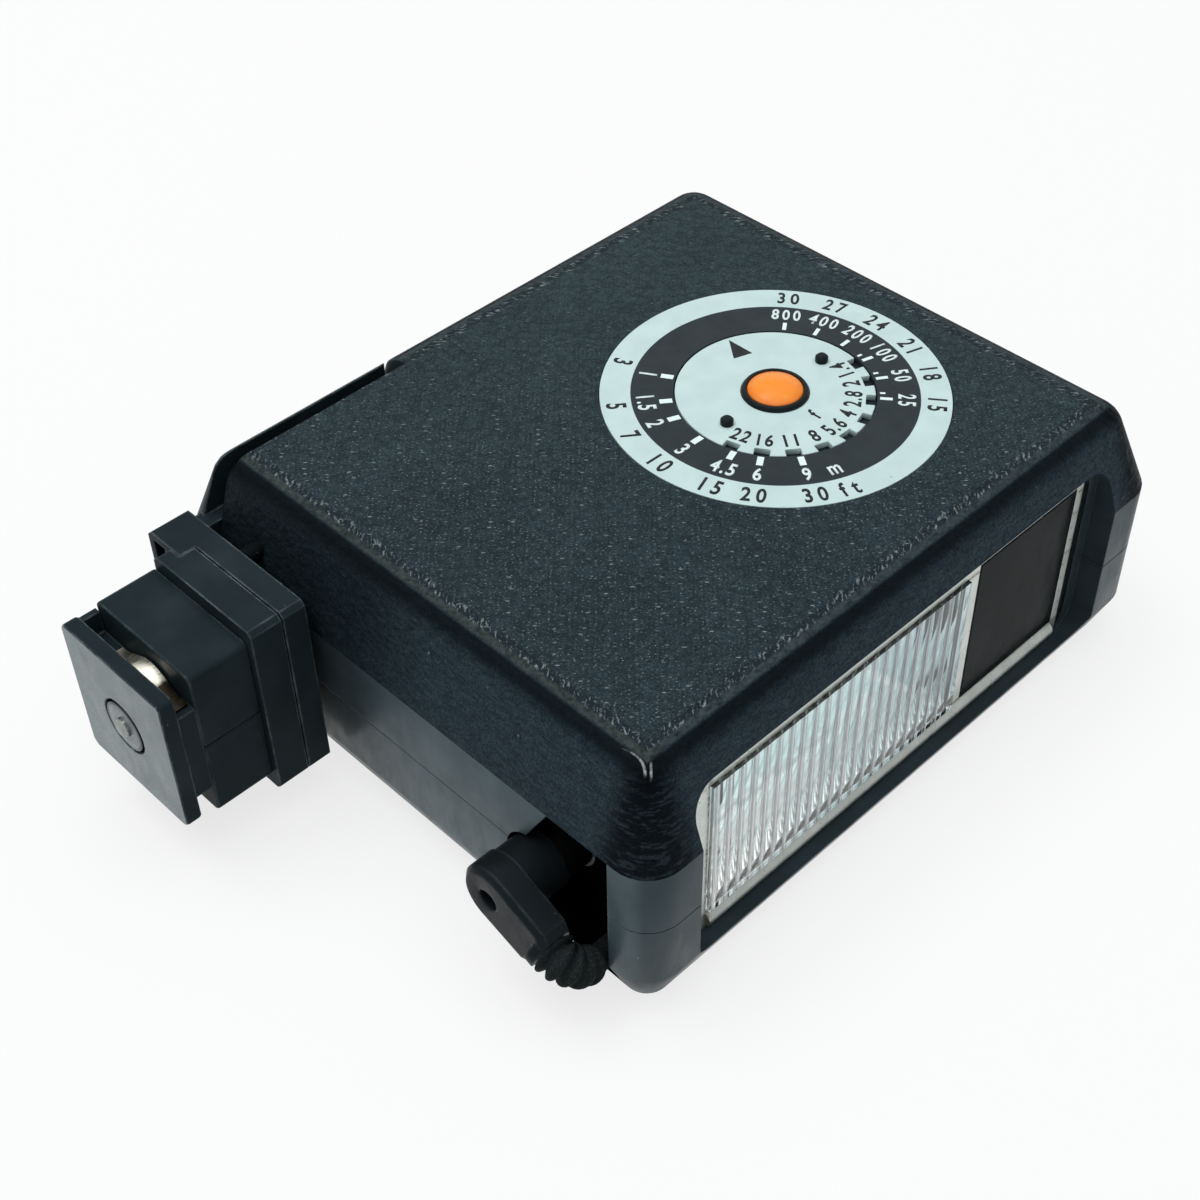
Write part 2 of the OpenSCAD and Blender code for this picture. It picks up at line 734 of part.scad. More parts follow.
function unit(v) = v / norm(v);
function along(path, i) = unit(path[min(i + 1, len(path) - 1)] - path[max(i - 1, 0)]);
function ring_at(path, r, i, sides) =
    let (t = along(path, i), u = unit(cross(t, abs(t[2]) < 0.9 ? [0, 0, 1] : [1, 0, 0])), v = cross(u, t))
    [for (j = [0 : sides - 1]) path[i] + r * (u * cos(360 * j / sides) + v * sin(360 * j / sides))];
// Smooth curve through four points at t between the middle two
function curve(a, b, c, d, t) =
    0.5 * (2 * b + (c - a) * t + (2 * a - 5 * b + 4 * c - d) * t * t + (3 * b - a - 3 * c + d) * t * t * t);
function smooth(p, steps) = [for (i = [0 : len(p) - 2], k = [0 : steps - 1])
    curve(p[max(i - 1, 0)], p[i], p[i + 1], p[min(i + 2, len(p) - 1)], k / steps), p[len(p) - 1]];

module button_spring() color("silver") translate([dial_x, dial_y, 0])
    coil(button_r, spring_wire, board_top, button_stop - button_flange, 3);

// Neon ready lamp that stands on the board inside the button
module ready_lamp() color([1, 0.6, 0.4]) translate([dial_x, dial_y, board_top]) {
    height = body_thick - 4 - board_top;
    cylinder(r = lamp_r, h = height - lamp_r);
    translate([0, 0, height - lamp_r]) sphere(lamp_r);
}

// Sleeve for the cells, open at the far end, with pads that carry the circuit board
module battery_box() color(satin) {
    difference() {
        box([bay_x0 - bay_wall, bay_y0 - bay_wall, wall], [bay_x1, bay_y1 + bay_wall, bay_top + bay_wall]);
        box([bay_x0, bay_y0, wall + bay_wall], [bay_x1 + 1, bay_y1, bay_top]);
    }
    for (x = [bay_x0 + 4, board_x1 - 4], y = [bay_y0 + 3, bay_y1 - 3])
        translate([x, y, bay_top]) cylinder(r = 2, h = board_z - bay_top);
}

module cell(y) {
    translate([cell_x0, y, cell_z]) {
        bar_x(cell_d / 2, 0, cell_len - cell_nub);
        bar_x(cell_nub_r, 0, cell_len);
    }
}

module cell_front() color("dimgray") cell(cell_y0);

module cell_rear() color("dimgray") translate([2 * cell_x0 + cell_len, 0, 0]) mirror([1, 0, 0]) cell(cell_y1);

// End plates of the sleeve, with a coil spring behind the front cell's flat end
module battery_contacts() color("silver") {
    for (y = [cell_y0, cell_y1])
        translate([bay_x0, y - cell_plate / 2, cell_z - cell_plate / 2])
            cube([contact_t, cell_plate, cell_plate]);
    for (y = [cell_y0, cell_y1])
        translate([0, y, cell_z]) rotate([0, 90, 0])
            coil(cell_spring_r, cell_spring_wire, bay_x0 + contact_t, cell_x0, 2);
}

// Battery door: a piece of the far end's own form that swings up on a barrel at its top edge
module battery_door() color(satin) difference() {
    union() {
        intersection() {
            difference() {
                case_form(0);
                case_form(door_t);
            }
            box([far_x - 8, door_y0, door_z0], [far_x + 1, door_y1, door_hinge_z]);
        }
        translate([door_hinge_x, door_y0, door_hinge_z]) rotate([-90, 0, 0])
            cylinder(r = door_barrel_r, h = door_y1 - door_y0);
    }
    translate([door_hinge_x, door_y0 - 1, door_hinge_z]) rotate([-90, 0, 0])
        cylinder(r = door_pin_r + run, h = door_y1 - door_y0 + 2);
}

// Bridge inside the door that joins the two cells, with a boss against each
module door_contact() color("silver") {
    box([door_in - contact_t, cell_y0 - bridge_over, cell_z - bridge_h / 2],
        [door_in, cell_y1 + bridge_over, cell_z + bridge_h / 2]);
    for (y = [cell_y0, cell_y1])
        translate([0, y, cell_z]) bar_x(bridge_boss_r, cell_x1 + fit, door_in - contact_t / 2);
}

module door_pin() color("silver") translate([door_hinge_x, bay_y0 - 2, door_hinge_z]) rotate([-90, 0, 0])
    cylinder(r = door_pin_r, h = bay_y1 - bay_y0 + 4);

// Power switch: ribbed thumb piece outside, neck through the slot
module power_slider() color(satin) translate([switch_x, 0, switch_z]) difference() {
    union() {
        box([-thumb_len / 2, rear_y + free, -thumb_h / 2],
            [thumb_len / 2, rear_y + free + thumb_out, thumb_h / 2]);
        box([-thumb_neck / 2, rear_y - wall - 1, -slot_h / 2 + free],
            [thumb_neck / 2, rear_y + free, slot_h / 2 - free]);
    }
    for (i = [-2 : 2])
        box([1.5 * i - 0.35, rear_y + free + thumb_out - 0.5, -thumb_h],
            [1.5 * i + 0.35, rear_y + big, thumb_h]);
}

// Slide switch inside the rear wall
module switch_body() color("gray") {
    x0 = switch_x - thumb_neck / 2;
    x1 = switch_x + thumb_neck / 2 + switch_travel;
    y1 = rear_y - wall;
    difference() {
        box([x0 - switch_side, y1 - switch_deep, switch_z - switch_h / 2],
            [x1 + switch_side, y1, switch_z + switch_h / 2]);
        box([x0 - free, y1 - switch_floor, switch_z - slot_h / 2],
            [x1 + free, y1 + 1, switch_z + slot_h / 2]);
    }
}

module case_screws() color("silver")
    for (p = screws)
        translate([p[0], p[1], 0.4]) difference() {
            union() {
                cylinder(r = screw_head_r, h = screw_head_h);
                cylinder(r = screw_r, h = split_z + 7);
            }
            for (a = [0, 90])
                rotate(a) cube([2.6, 0.6, 1.2], center = true);
        }

// Stop stud on the foot end that the folded collar rests against
module detent_stud() color("gray") translate([0, stud_y, stud_z])
    bar_x(stud_r, collar_x1 + fit, foot_x + 4);

module hinge_pin() color("silver") translate([hinge_x, hinge_y, pin_z0])
    cylinder(r = pin_r, h = pin_z1 - pin_z0);

// Tilting bracket: collar plate, hollow tab and an arm of the case's own form with knuckles at its end
module tilt_bracket() color(satin) difference() {
    z0 = mid_z - collar_h / 2;
    z1 = mid_z + collar_h / 2;
    union() {
        difference() {
            intersection() {
                translate([-arm_out, 0, 0]) case_form(0);
                union() {
                    box([-big, arm_in_y, arm_base], [hinge_x, big, big]);
                    translate([hinge_x, hinge_y, arm_base]) cylinder(r = arm_half, h = body_thick);
                }
            }
            arm_hollow();
        }
        collar_slab(collar_x1, collar_back, tab_y1 - collar_y0, 0);
        intersection() {
            collar_slab(collar_x0 + 1, tab_hold + 1, tab_y1 - collar_y0, 0);
            box([-big, collar_y1 - tab_len + fit, 0], [big, big, body_thick]);
        }
        box([collar_x1 - 1, arm_in_y - joint_t, z0],
            [foot_x + corner_r, arm_in_y + joint_in, z1 - joint_drop]);
    }
    box([arm_end, arm_wall_y, knuckle_z0 - free], [big, big, knuckle_z1 + free]);
    box([collar_x0 - tab_hold - 1, collar_y1 + tab_wall, z0 + tab_wall],
        [collar_x1 - tab_wall, tab_y1 - tab_wall, z1 - tab_wall]);
    translate([hinge_x, hinge_y, -1]) cylinder(r = pin_r + run, h = pin_z1 + fit + 1);
}

// The arm's hollow, open towards the case, in four fields between a cross of ribs
module arm_hollow() intersection() {
    x0 = foot_x + corner_r;
    x1 = arm_end - arm_skin;
    xm = (x0 + x1) / 2;
    case_form(arm_skin);
    for (x = [[x0, xm - arm_rib / 2], [xm + arm_rib / 2, x1]],
         z = [[arm_base + arm_skin, mid_z - arm_rib / 2], [mid_z + arm_rib / 2, body_thick]])
        box([x[0], arm_in_y - 1, z[0]], [x[1], big, z[1]]);
}

// A plate of the collar's outline, t thick and w deep, drawn in by g
module collar_slab(x1, t, w, g) {
    translate([x1, collar_y0 + g, 0]) rotate([90, 0, -90]) linear_extrude(t)
        chamfer_outline(w - 2 * g, mid_z - collar_h / 2 + g, mid_z + collar_h / 2 - g, collar_edge);
}

// Front collar plate with a fine seam behind it, notched at its rear end for the bracket's tab
module foot_collar() color(satin) difference() {
    union() {
        collar_slab(collar_x0, collar_front, collar_d, collar_core);
        collar_slab(collar_x0 - collar_seam, collar_front - collar_seam, collar_d, 0);
    }
    box([collar_x0 - tab_hold - fit, collar_y1 - tab_len, 0], [collar_x0 + 1, collar_y1 + 1, body_thick]);
    translate([0, contact_y, mid_z]) bar_x(insulator_stem + fit, neck_x1 - 1, neck_x1 + 1.2);
}

// A rectangle from 0 to -w and from z0 to z1 with small corner chamfers
module chamfer_outline(w, z0, z1, c) {
    polygon([[-c, z0], [0, z0 + c], [0, z1 - c], [-c, z1],
             [c - w, z1], [-w, z1 - c], [-w, z0 + c], [c - w, z0]]);
}

// One moulded half of the neck, split at mid height, with half of the contact bore
module neck_half(z0, z1) {
    edge = 0.5;
    difference() {
        translate([neck_x1, neck_y0, 0]) rotate([90, 0, -90]) linear_extrude(neck_len)
            chamfer_outline(neck_d, mid_z - neck_h / 2, mid_z + neck_h / 2, edge);
        box([-big, -big, -1], [big, big, z0]);
        box([-big, -big, z1], [big, big, big]);
        translate([0, contact_y, mid_z]) bar_x(insulator_stem + fit, neck_x0 - 1, neck_x1 + 1);
    }
}

module neck_upper() color(satin) neck_half(mid_z + seam / 4, body_thick);

module neck_lower() color(satin) neck_half(0, mid_z - seam / 4);

// Narrow part between the two shoe grooves, with a stop across their rear ends
module foot_waist() color(satin) difference() {
    half = shoe_w / 2 - groove_deep;
    y1 = shoe_y0 + shoe_len - 0.4;
    union() {
        box([waist_x0, shoe_y0 + 0.2, mid_z - half], [neck_x0, y1, mid_z + half]);
        box([waist_x0, y1 - stop_t, mid_z - shoe_w / 2 + stop_in],
            [neck_x0, y1, mid_z + shoe_w / 2 - stop_in]);
    }
    translate([0, contact_y, mid_z]) bar_x(insulator_stem + fit, waist_x0 - 1, neck_x0 + 1);
}

// Shoe foot with a seat for the insulating disc
module foot_plate() color(satin) difference() {
    translate([waist_x0, shoe_y0, 0]) rotate([90, 0, -90]) linear_extrude(shoe_t)
        chamfer_outline(shoe_len, mid_z - shoe_w / 2, mid_z + shoe_w / 2, shoe_edge);
    translate([0, contact_y, mid_z]) bar_x(insulator_r + 0.25, shoe_x0 - 1, shoe_x0 + shoe_t - 0.5);
    translate([0, contact_y, mid_z]) bar_x(insulator_stem + fit, shoe_x0 - 1, waist_x0 + 1);
}

// Bright bowed leaf in the dial-side groove that grips the camera's shoe
module shoe_spring() color(bright) {
    steps = 12;
    bow = [for (i = [0 : steps]) [-leaf_len * i / steps, leaf_bow * (0.5 - 0.5 * cos(360 * i / steps))]];
    back = [for (i = [steps : -1 : 0]) bow[i] + [0, leaf_t]];
    translate([neck_x0 - 0.2, shoe_y0 + leaf_at, mid_z + shoe_w / 2 - groove_deep]) rotate([90, 0, -90])
        linear_extrude(groove_w - 0.4) polygon(concat(bow, back));
}

module contact_insulator() color("gray") translate([0, contact_y, mid_z]) difference() {
    union() {
        bar_x(insulator_r, shoe_x0, shoe_x0 + shoe_t - 0.5);
        bar_x(insulator_stem, shoe_x0, neck_x1 + 1.2);
    }
    bar_x(contact_r + run, shoe_x0 - 1, neck_x0);
    bar_x(insulator_stem - 0.5, neck_x0 - 0.01, stem_x1 + contact_back);
}

// Sprung centre contact with a domed end and a stop collar
module contact_pin() color(bright) translate([0, contact_y, mid_z]) {
    bar_x(contact_r, shoe_x0 - contact_out + 0.4, neck_x0 + 1.2);
    translate([shoe_x0 - contact_out, 0, 0]) rotate([0, 90, 0])
        cylinder(r1 = contact_r - 0.4, r2 = contact_r, h = 0.4);
    bar_x(insulator_stem - 0.5 - free, neck_x0 + fit, neck_x0 + 1.2);
}

module contact_spring() color("silver") translate([0, contact_y, mid_z]) rotate([0, 90, 0])
    coil(insulator_stem - 1.1, spring_wire, neck_x0 + 1.2, stem_x1 + contact_back, 4);

// Rubber head of the right-angle plug: a round end with a drooping side arm, and a collar towards the barrel
module plug_head() color(black) translate([0, plug_py, plug_z]) difference() {
    union() {
        rotate([plug_droop, 0, 0]) {
            hull() {
                head_slab(head_x0, head_x0 + 0.1, plug_edge);
                head_slab(head_x0 + plug_edge, head_x1, 0);
            }
            translate([(head_x0 + head_x1) / 2, plug_lip - plug_reach, 0]) rotate([90, 0, 0])
                cylinder(r = plug_lip_r, h = plug_lip);
        }
        bar_x(plug_collar_r, head_x1 - 1, barrel_x0);
    }
    bar_x(plug_hole_r, head_x0 - 1, head_x0 + plug_hole);
}

// The head's outline between two places along X, drawn in by g
module head_slab(x0, x1, g) {
    root = plug_r - g;
    tip = plug_tip_w / 2 - g;
    end = plug_reach - g;
    translate([x0, 0, 0]) rotate([0, 90, 0]) cylinder(r = root, h = x1 - x0, $fn = form_fn);
    translate([x1, 0, 0]) rotate([90, 0, -90]) linear_extrude(x1 - x0)
        polygon([[0, -root], [end - 1, -tip], [end, 1 - tip], [end, tip - 1], [end - 1, tip], [0, root]]);
}

// Metal barrel that sits on the parking peg
module plug_barrel() color("dimgray") translate([0, plug_py, plug_z]) difference() {
    union() {
        bar_x(plug_barrel_r, barrel_x0, barrel_x0 + plug_barrel_len);
        bar_x(plug_barrel_r + barrel_lip, barrel_x0 + plug_barrel_len - 1, barrel_x0 + plug_barrel_len);
    }
    bar_x(plug_barrel_r - 0.7, barrel_x0 + 1, barrel_x0 + plug_barrel_len + 1);
}

// Ribbed strain relief that bends from the plug's arm towards the notch
module plug_relief() color(black) {
    steps = 8;
    path = smooth(relief_path, steps);
    n = len(path) - 1;
    radii = [for (i = [0 : n])
        relief_r + (relief_end_r - relief_r) * i / n
            - relief_groove * (0.5 - 0.5 * cos(360 * relief_ribs * i / n))];
    translate(plug_tip()) sweep(path, radii, 12);
}

function plug_tip() = [(head_x0 + head_x1) / 2, plug_py - plug_reach * cos(plug_droop),
                       plug_z - plug_reach * sin(plug_droop)];

module sync_lead() color(black)
    translate(plug_tip()) sweep(smooth(lead_path, 4), [for (i = [0 : 4 * (len(lead_path) - 1)]) lead_r], 10);

// Grommet where the lead enters the notch's back wall
module lead_grommet() color(black) {
    end = plug_tip() + lead_path[len(lead_path) - 1];
    translate([0, end[1], end[2]]) bar_x(lead_r + grommet_wall, end[0] + fit, notch_x1);
}

module parking_peg() color(satin) translate([0, plug_py, plug_z]) {
    bar_x(plug_barrel_r - 0.8, barrel_x0 + 2, notch_x1);
    bar_x(plug_barrel_r + barrel_lip, barrel_x0 + plug_barrel_len, notch_x1);
}

upper_shell();
lower_shell();
window_frame();
window_lens();
window_plate();
reflector();
flash_tube();
tube_caps();
trigger_coil();
main_capacitor();
circuit_board();
transformer();
dial_ring();
dial_bezel();
bezel_nut();
calculator_disc();
disc_nubs();
test_button();
button_spring();
ready_lamp();
battery_box();
cell_front();
cell_rear();
battery_contacts();
battery_door();
door_contact();
door_pin();
power_slider();
switch_body();
case_screws();
detent_stud();
hinge_pin();
tilt_bracket();
foot_collar();
neck_upper();
neck_lower();
foot_waist();
foot_plate();
shoe_spring();
contact_insulator();
contact_pin();
contact_spring();
plug_head();
plug_barrel();
plug_relief();
sync_lead();
lead_grommet();
parking_peg();
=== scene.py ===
import math

import bmesh
import bpy
from mathutils import Matrix, Vector


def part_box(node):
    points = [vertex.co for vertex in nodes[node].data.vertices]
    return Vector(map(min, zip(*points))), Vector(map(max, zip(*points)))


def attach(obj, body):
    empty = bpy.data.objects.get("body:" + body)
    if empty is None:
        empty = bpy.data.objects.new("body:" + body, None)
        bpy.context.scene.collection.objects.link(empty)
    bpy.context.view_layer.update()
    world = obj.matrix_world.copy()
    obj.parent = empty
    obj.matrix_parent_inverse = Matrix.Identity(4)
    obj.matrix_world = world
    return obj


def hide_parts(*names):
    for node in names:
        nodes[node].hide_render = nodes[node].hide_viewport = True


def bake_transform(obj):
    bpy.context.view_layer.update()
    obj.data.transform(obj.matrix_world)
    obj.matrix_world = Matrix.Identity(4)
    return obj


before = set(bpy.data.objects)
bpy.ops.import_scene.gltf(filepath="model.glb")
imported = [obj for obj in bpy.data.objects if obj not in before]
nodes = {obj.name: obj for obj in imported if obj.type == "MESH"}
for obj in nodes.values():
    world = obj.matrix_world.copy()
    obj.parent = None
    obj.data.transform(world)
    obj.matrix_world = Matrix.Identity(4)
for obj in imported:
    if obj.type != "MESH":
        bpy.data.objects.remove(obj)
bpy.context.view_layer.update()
scene = bpy.context.scene
scene.view_settings.view_transform = "Standard"
MM = 0.001


def corners(node):
    """Lowest and highest corner of a node at rest, in millimetres."""
    return [Vector(v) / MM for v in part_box(node)]


# Places taken over from the part's source, in millimetres
DIAL = Vector((12.5, -3.7, 33.0))
DISC_TOP = 32.95
GRAIN_Z = 22.0
TOP_X, TOP_Y = 35.57, 30.57
FLUTES = 22
BUTTON_R, BUTTON_BORE, BUTTON_FLANGE = 3.2, 2.3, 0.9
BUTTON_ROOF = DIAL.z - 0.6
PLUG = Vector((-46.6, -20.9, 12.4))
PLUG_REACH, PLUG_DROOP = 7.7, math.radians(22)
LEAD_R, SPRING_WIRE = 1.45, 0.25
DIAL_POCKET_R, RING_BLACK_R = 19.95, 16.3
NOTCH_LOW, NOTCH_HIGH = Vector((-41.9, -31.7, 0.3)), Vector((-33.9, -9.0, 22.2))
WINDOW_LOW, WINDOW_HIGH = Vector((-34.5, -36.95, 3.1)), Vector((33.6, -31.3, 28.3))
WINDOW_LEDGE_Y, ARM_WALL_Y, ARM_WALL_X = -34.0, 30.2, -13.2
FOOT_FACE_X = -61.9
ON_PLANE = 0.05


# Node helpers
class Shader:
    """A material with its node tree; every method adds one node and returns its output."""

    def __init__(self, name):
        self.mat = bpy.data.materials.new(name)
        self.mat.use_nodes = True
        self.tree = self.mat.node_tree
        self.bsdf = self.tree.nodes["Principled BSDF"]
        coord = self.tree.nodes.new("ShaderNodeTexCoord")
        self.p = self.vec("SCALE", coord.outputs["Object"], scale=1000.0)

    def put(self, socket, value):
        if isinstance(value, bpy.types.NodeSocket):
            self.tree.links.new(value, socket)
        else:
            socket.default_value = value

    def vec(self, op, a, b=None, scale=None):
        n = self.tree.nodes.new("ShaderNodeVectorMath")
        n.operation = op
        self.put(n.inputs[0], a)
        if b is not None:
            self.put(n.inputs[1], b)
        if scale is not None:
            self.put(n.inputs["Scale"], scale)
        return n.outputs["Value"] if op in ("LENGTH", "DISTANCE", "DOT_PRODUCT") else n.outputs["Vector"]

    def math(self, op, a, b=0.0):
        n = self.tree.nodes.new("ShaderNodeMath")
        n.operation = op
        self.put(n.inputs[0], a)
        self.put(n.inputs[1], b)
        return n.outputs[0]

    def axis(self, which, source=None):
        n = self.tree.nodes.new("ShaderNodeSeparateXYZ")
        self.put(n.inputs[0], source or self.p)
        return n.outputs[which]

    def noise(self, scale, detail=3.0, rough=0.55, source=None, stretch=None):
        n = self.tree.nodes.new("ShaderNodeTexNoise")
        src = source or self.p
        if stretch:
            src = self.vec("MULTIPLY", src, stretch)
        self.put(n.inputs["Vector"], src)
        n.inputs["Scale"].default_value = scale
        n.inputs["Detail"].default_value = detail
        n.inputs["Roughness"].default_value = rough
        return n.outputs["Fac"]

    def cells(self, scale, feature="F1", smooth=0.5, source=None, flat=False):
        n = self.tree.nodes.new("ShaderNodeTexVoronoi")
        n.voronoi_dimensions = "2D" if flat else "3D"
        n.feature = feature
        self.put(n.inputs["Vector"], source or self.p)
        n.inputs["Scale"].default_value = scale
        if feature == "SMOOTH_F1":
            n.inputs["Smoothness"].default_value = smooth
        return n

    def step(self, value, low, high, to_low=0.0, to_high=1.0):
        n = self.tree.nodes.new("ShaderNodeMapRange")
        n.interpolation_type = "SMOOTHSTEP"
        self.put(n.inputs["Value"], value)
        for key, v in (("From Min", low), ("From Max", high), ("To Min", to_low), ("To Max", to_high)):
            self.put(n.inputs[key], v)
        return n.outputs[0]

    def mix(self, fac, a, b):
        n = self.tree.nodes.new("ShaderNodeMix")
        n.data_type = "RGBA"
        self.put(n.inputs[0], fac)
        for sock, v in ((n.inputs[6], a), (n.inputs[7], b)):
            self.put(sock, v if isinstance(v, bpy.types.NodeSocket) else (*v, 1.0))
        return n.outputs[2]

    def blend(self, fac, a, b):
        n = self.tree.nodes.new("ShaderNodeMix")
        self.put(n.inputs[0], fac)
        self.put(n.inputs[2], a)
        self.put(n.inputs[3], b)
        return n.outputs[0]

    def bump(self, height, strength, depth_mm, normal=None):
        n = self.tree.nodes.new("ShaderNodeBump")
        self.put(n.inputs["Strength"], strength)
        n.inputs["Distance"].default_value = depth_mm * MM
        self.put(n.inputs["Height"], height)
        if normal is not None:
            self.put(n.inputs["Normal"], normal)
        return n.outputs[0]

    def join(self, x, y, z):
        n = self.tree.nodes.new("ShaderNodeCombineXYZ")
        for i, v in enumerate((x, y, z)):
            self.put(n.inputs[i], v)
        return n.outputs[0]

    def soft_edge(self, radius_mm):
        n = self.tree.nodes.new("ShaderNodeBevel")
        n.samples = 4
        n.inputs["Radius"].default_value = radius_mm * MM
        return n.outputs[0]

    def edge_mask(self, rounded):
        """1 on edges, where the rounded normal leaves the surface's own, and 0 on flat ground."""
        n = self.tree.nodes.new("ShaderNodeNewGeometry")
        return self.step(self.vec("DOT_PRODUCT", rounded, n.outputs["Normal"]), 0.985, 0.85)

    def times(self, first, *others):
        for v in others:
            first = self.math("MULTIPLY", first, v)
        return first

    def dim(self, color, factor):
        return self.vec("SCALE", color, scale=factor)

    def set(self, **sockets):
        for key, value in sockets.items():
            name = key.replace("_", " ")
            socket = self.bsdf.inputs[name]
            if socket.type == "RGBA" and isinstance(value, tuple):
                value = (*value, 1.0)
            self.put(socket, value)
        return self


def specks(s, scale, size, share, source=None, flat=False):
    """Small separate spots of varied strength in the middle of some cells, 0 elsewhere."""
    v = s.cells(scale, source=source, flat=flat)
    pick = s.tree.nodes.new("ShaderNodeSeparateColor")
    s.put(pick.inputs[0], v.outputs["Color"])
    near = s.step(v.outputs["Distance"], size, size * 0.4)
    chosen = s.step(pick.outputs[0], share, share * 0.3)
    return s.times(near, chosen, s.step(pick.outputs[1], 0.0, 1.0, 0.3, 1.0))


# Materials
TINT = (0.66, 0.93, 1.0)
SPECK, FILM, SCUFF_AND_GLINT = (0.3, 0.34, 0.34), (0.2, 0.24, 0.25), (0.24, 0.29, 0.3)
GAP_SHADE, GLINT, LINT = (0.004, 0.005, 0.005), (0.26, 0.3, 0.31), (0.4, 0.44, 0.44)


def plastic(name, base, rough, grain=0.15, dust=0.5, spec=0.5, edge=0.2, worn_and_glint=0.2, tone=None):
    """Moulded satin plastic with faint orange peel, patches of rubbing, dust and fine scratches; its pale
    edges are partly real scuffing and partly a painted highlight.
    """
    s = Shader(name)
    cloud = s.noise(0.12, 4.0, 0.6)
    rub = s.noise(0.5, 5.0, 0.65, stretch=(1.0, 1.0, 0.45))
    color = s.mix(s.step(cloud, 0.35, 0.7), base, tuple(c * 1.35 for c in base))
    dots = specks(s, 0.75, 0.1, 0.16 * dust)
    color = s.mix(s.math("MULTIPLY", dots, 0.45), color, SPECK)
    film = s.step(s.noise(0.06, 3.0, 0.5), 0.52, 0.75, 0.0, 0.06 * dust)
    color = s.mix(film, color, FILM)
    scratch = s.step(s.noise(2.2, 2.0, 0.5, stretch=(0.12, 1.0, 1.0)), 0.66, 0.7, 0.0, 0.08)
    if tone:
        color = tone(s, color)
    # Pale edges: scuffing that is also a painted highlight on every edge
    rounded = s.soft_edge(edge)
    wear_and_glint = s.step(s.noise(0.35, 4.0, 0.7), 0.4, 0.62, 0.3 * worn_and_glint, worn_and_glint)
    color = s.mix(s.math("MULTIPLY", s.edge_mask(rounded), wear_and_glint), color, SCUFF_AND_GLINT)
    height = s.math("ADD", s.noise(2.6, 2.0), s.math("MULTIPLY", s.noise(9.0, 1.0), 0.35))
    gloss = s.math("ADD", s.step(rub, 0.3, 0.75, rough - 0.07, rough + 0.09), scratch)
    s.set(Base_Color=color, Roughness=gloss, Normal=s.bump(height, grain, 0.03, rounded))
    s.set(Specular_IOR_Level=spec, Specular_Tint=TINT, IOR=1.5)
    return s.mat


def case_painted_light(s, color):
    """The smooth half of the case: painted light makes the foot's end paler, and a painted shadow of the foot
    darkens it towards the back of the collar.
    """
    end = s.step(s.axis(0), -40.8, -41.8)
    foot_shadow = s.times(end, s.step(s.axis(1), -8.0, 12.0))
    # Painted light on the foot's end face, then the painted shadow of the foot
    color = s.dim(color, s.blend(end, 1.0, 1.9))
    return s.dim(color, s.blend(foot_shadow, 1.0, 0.35))


def insulator_gap_shade(s, color):
    """Painted shade of the groove round the disc in the foot's face: a dark ring."""
    low, high = corners("contact_insulator")
    middle = (low + high) / 2
    out = s.vec("LENGTH", s.vec("MULTIPLY", s.vec("SUBTRACT", s.p, tuple(middle)), (0.0, 1.0, 1.0)))
    gap = s.step(out, (high.z - low.z) / 2 - 0.42, (high.z - low.z) / 2 - 0.3)
    return s.mix(gap, color, GAP_SHADE)


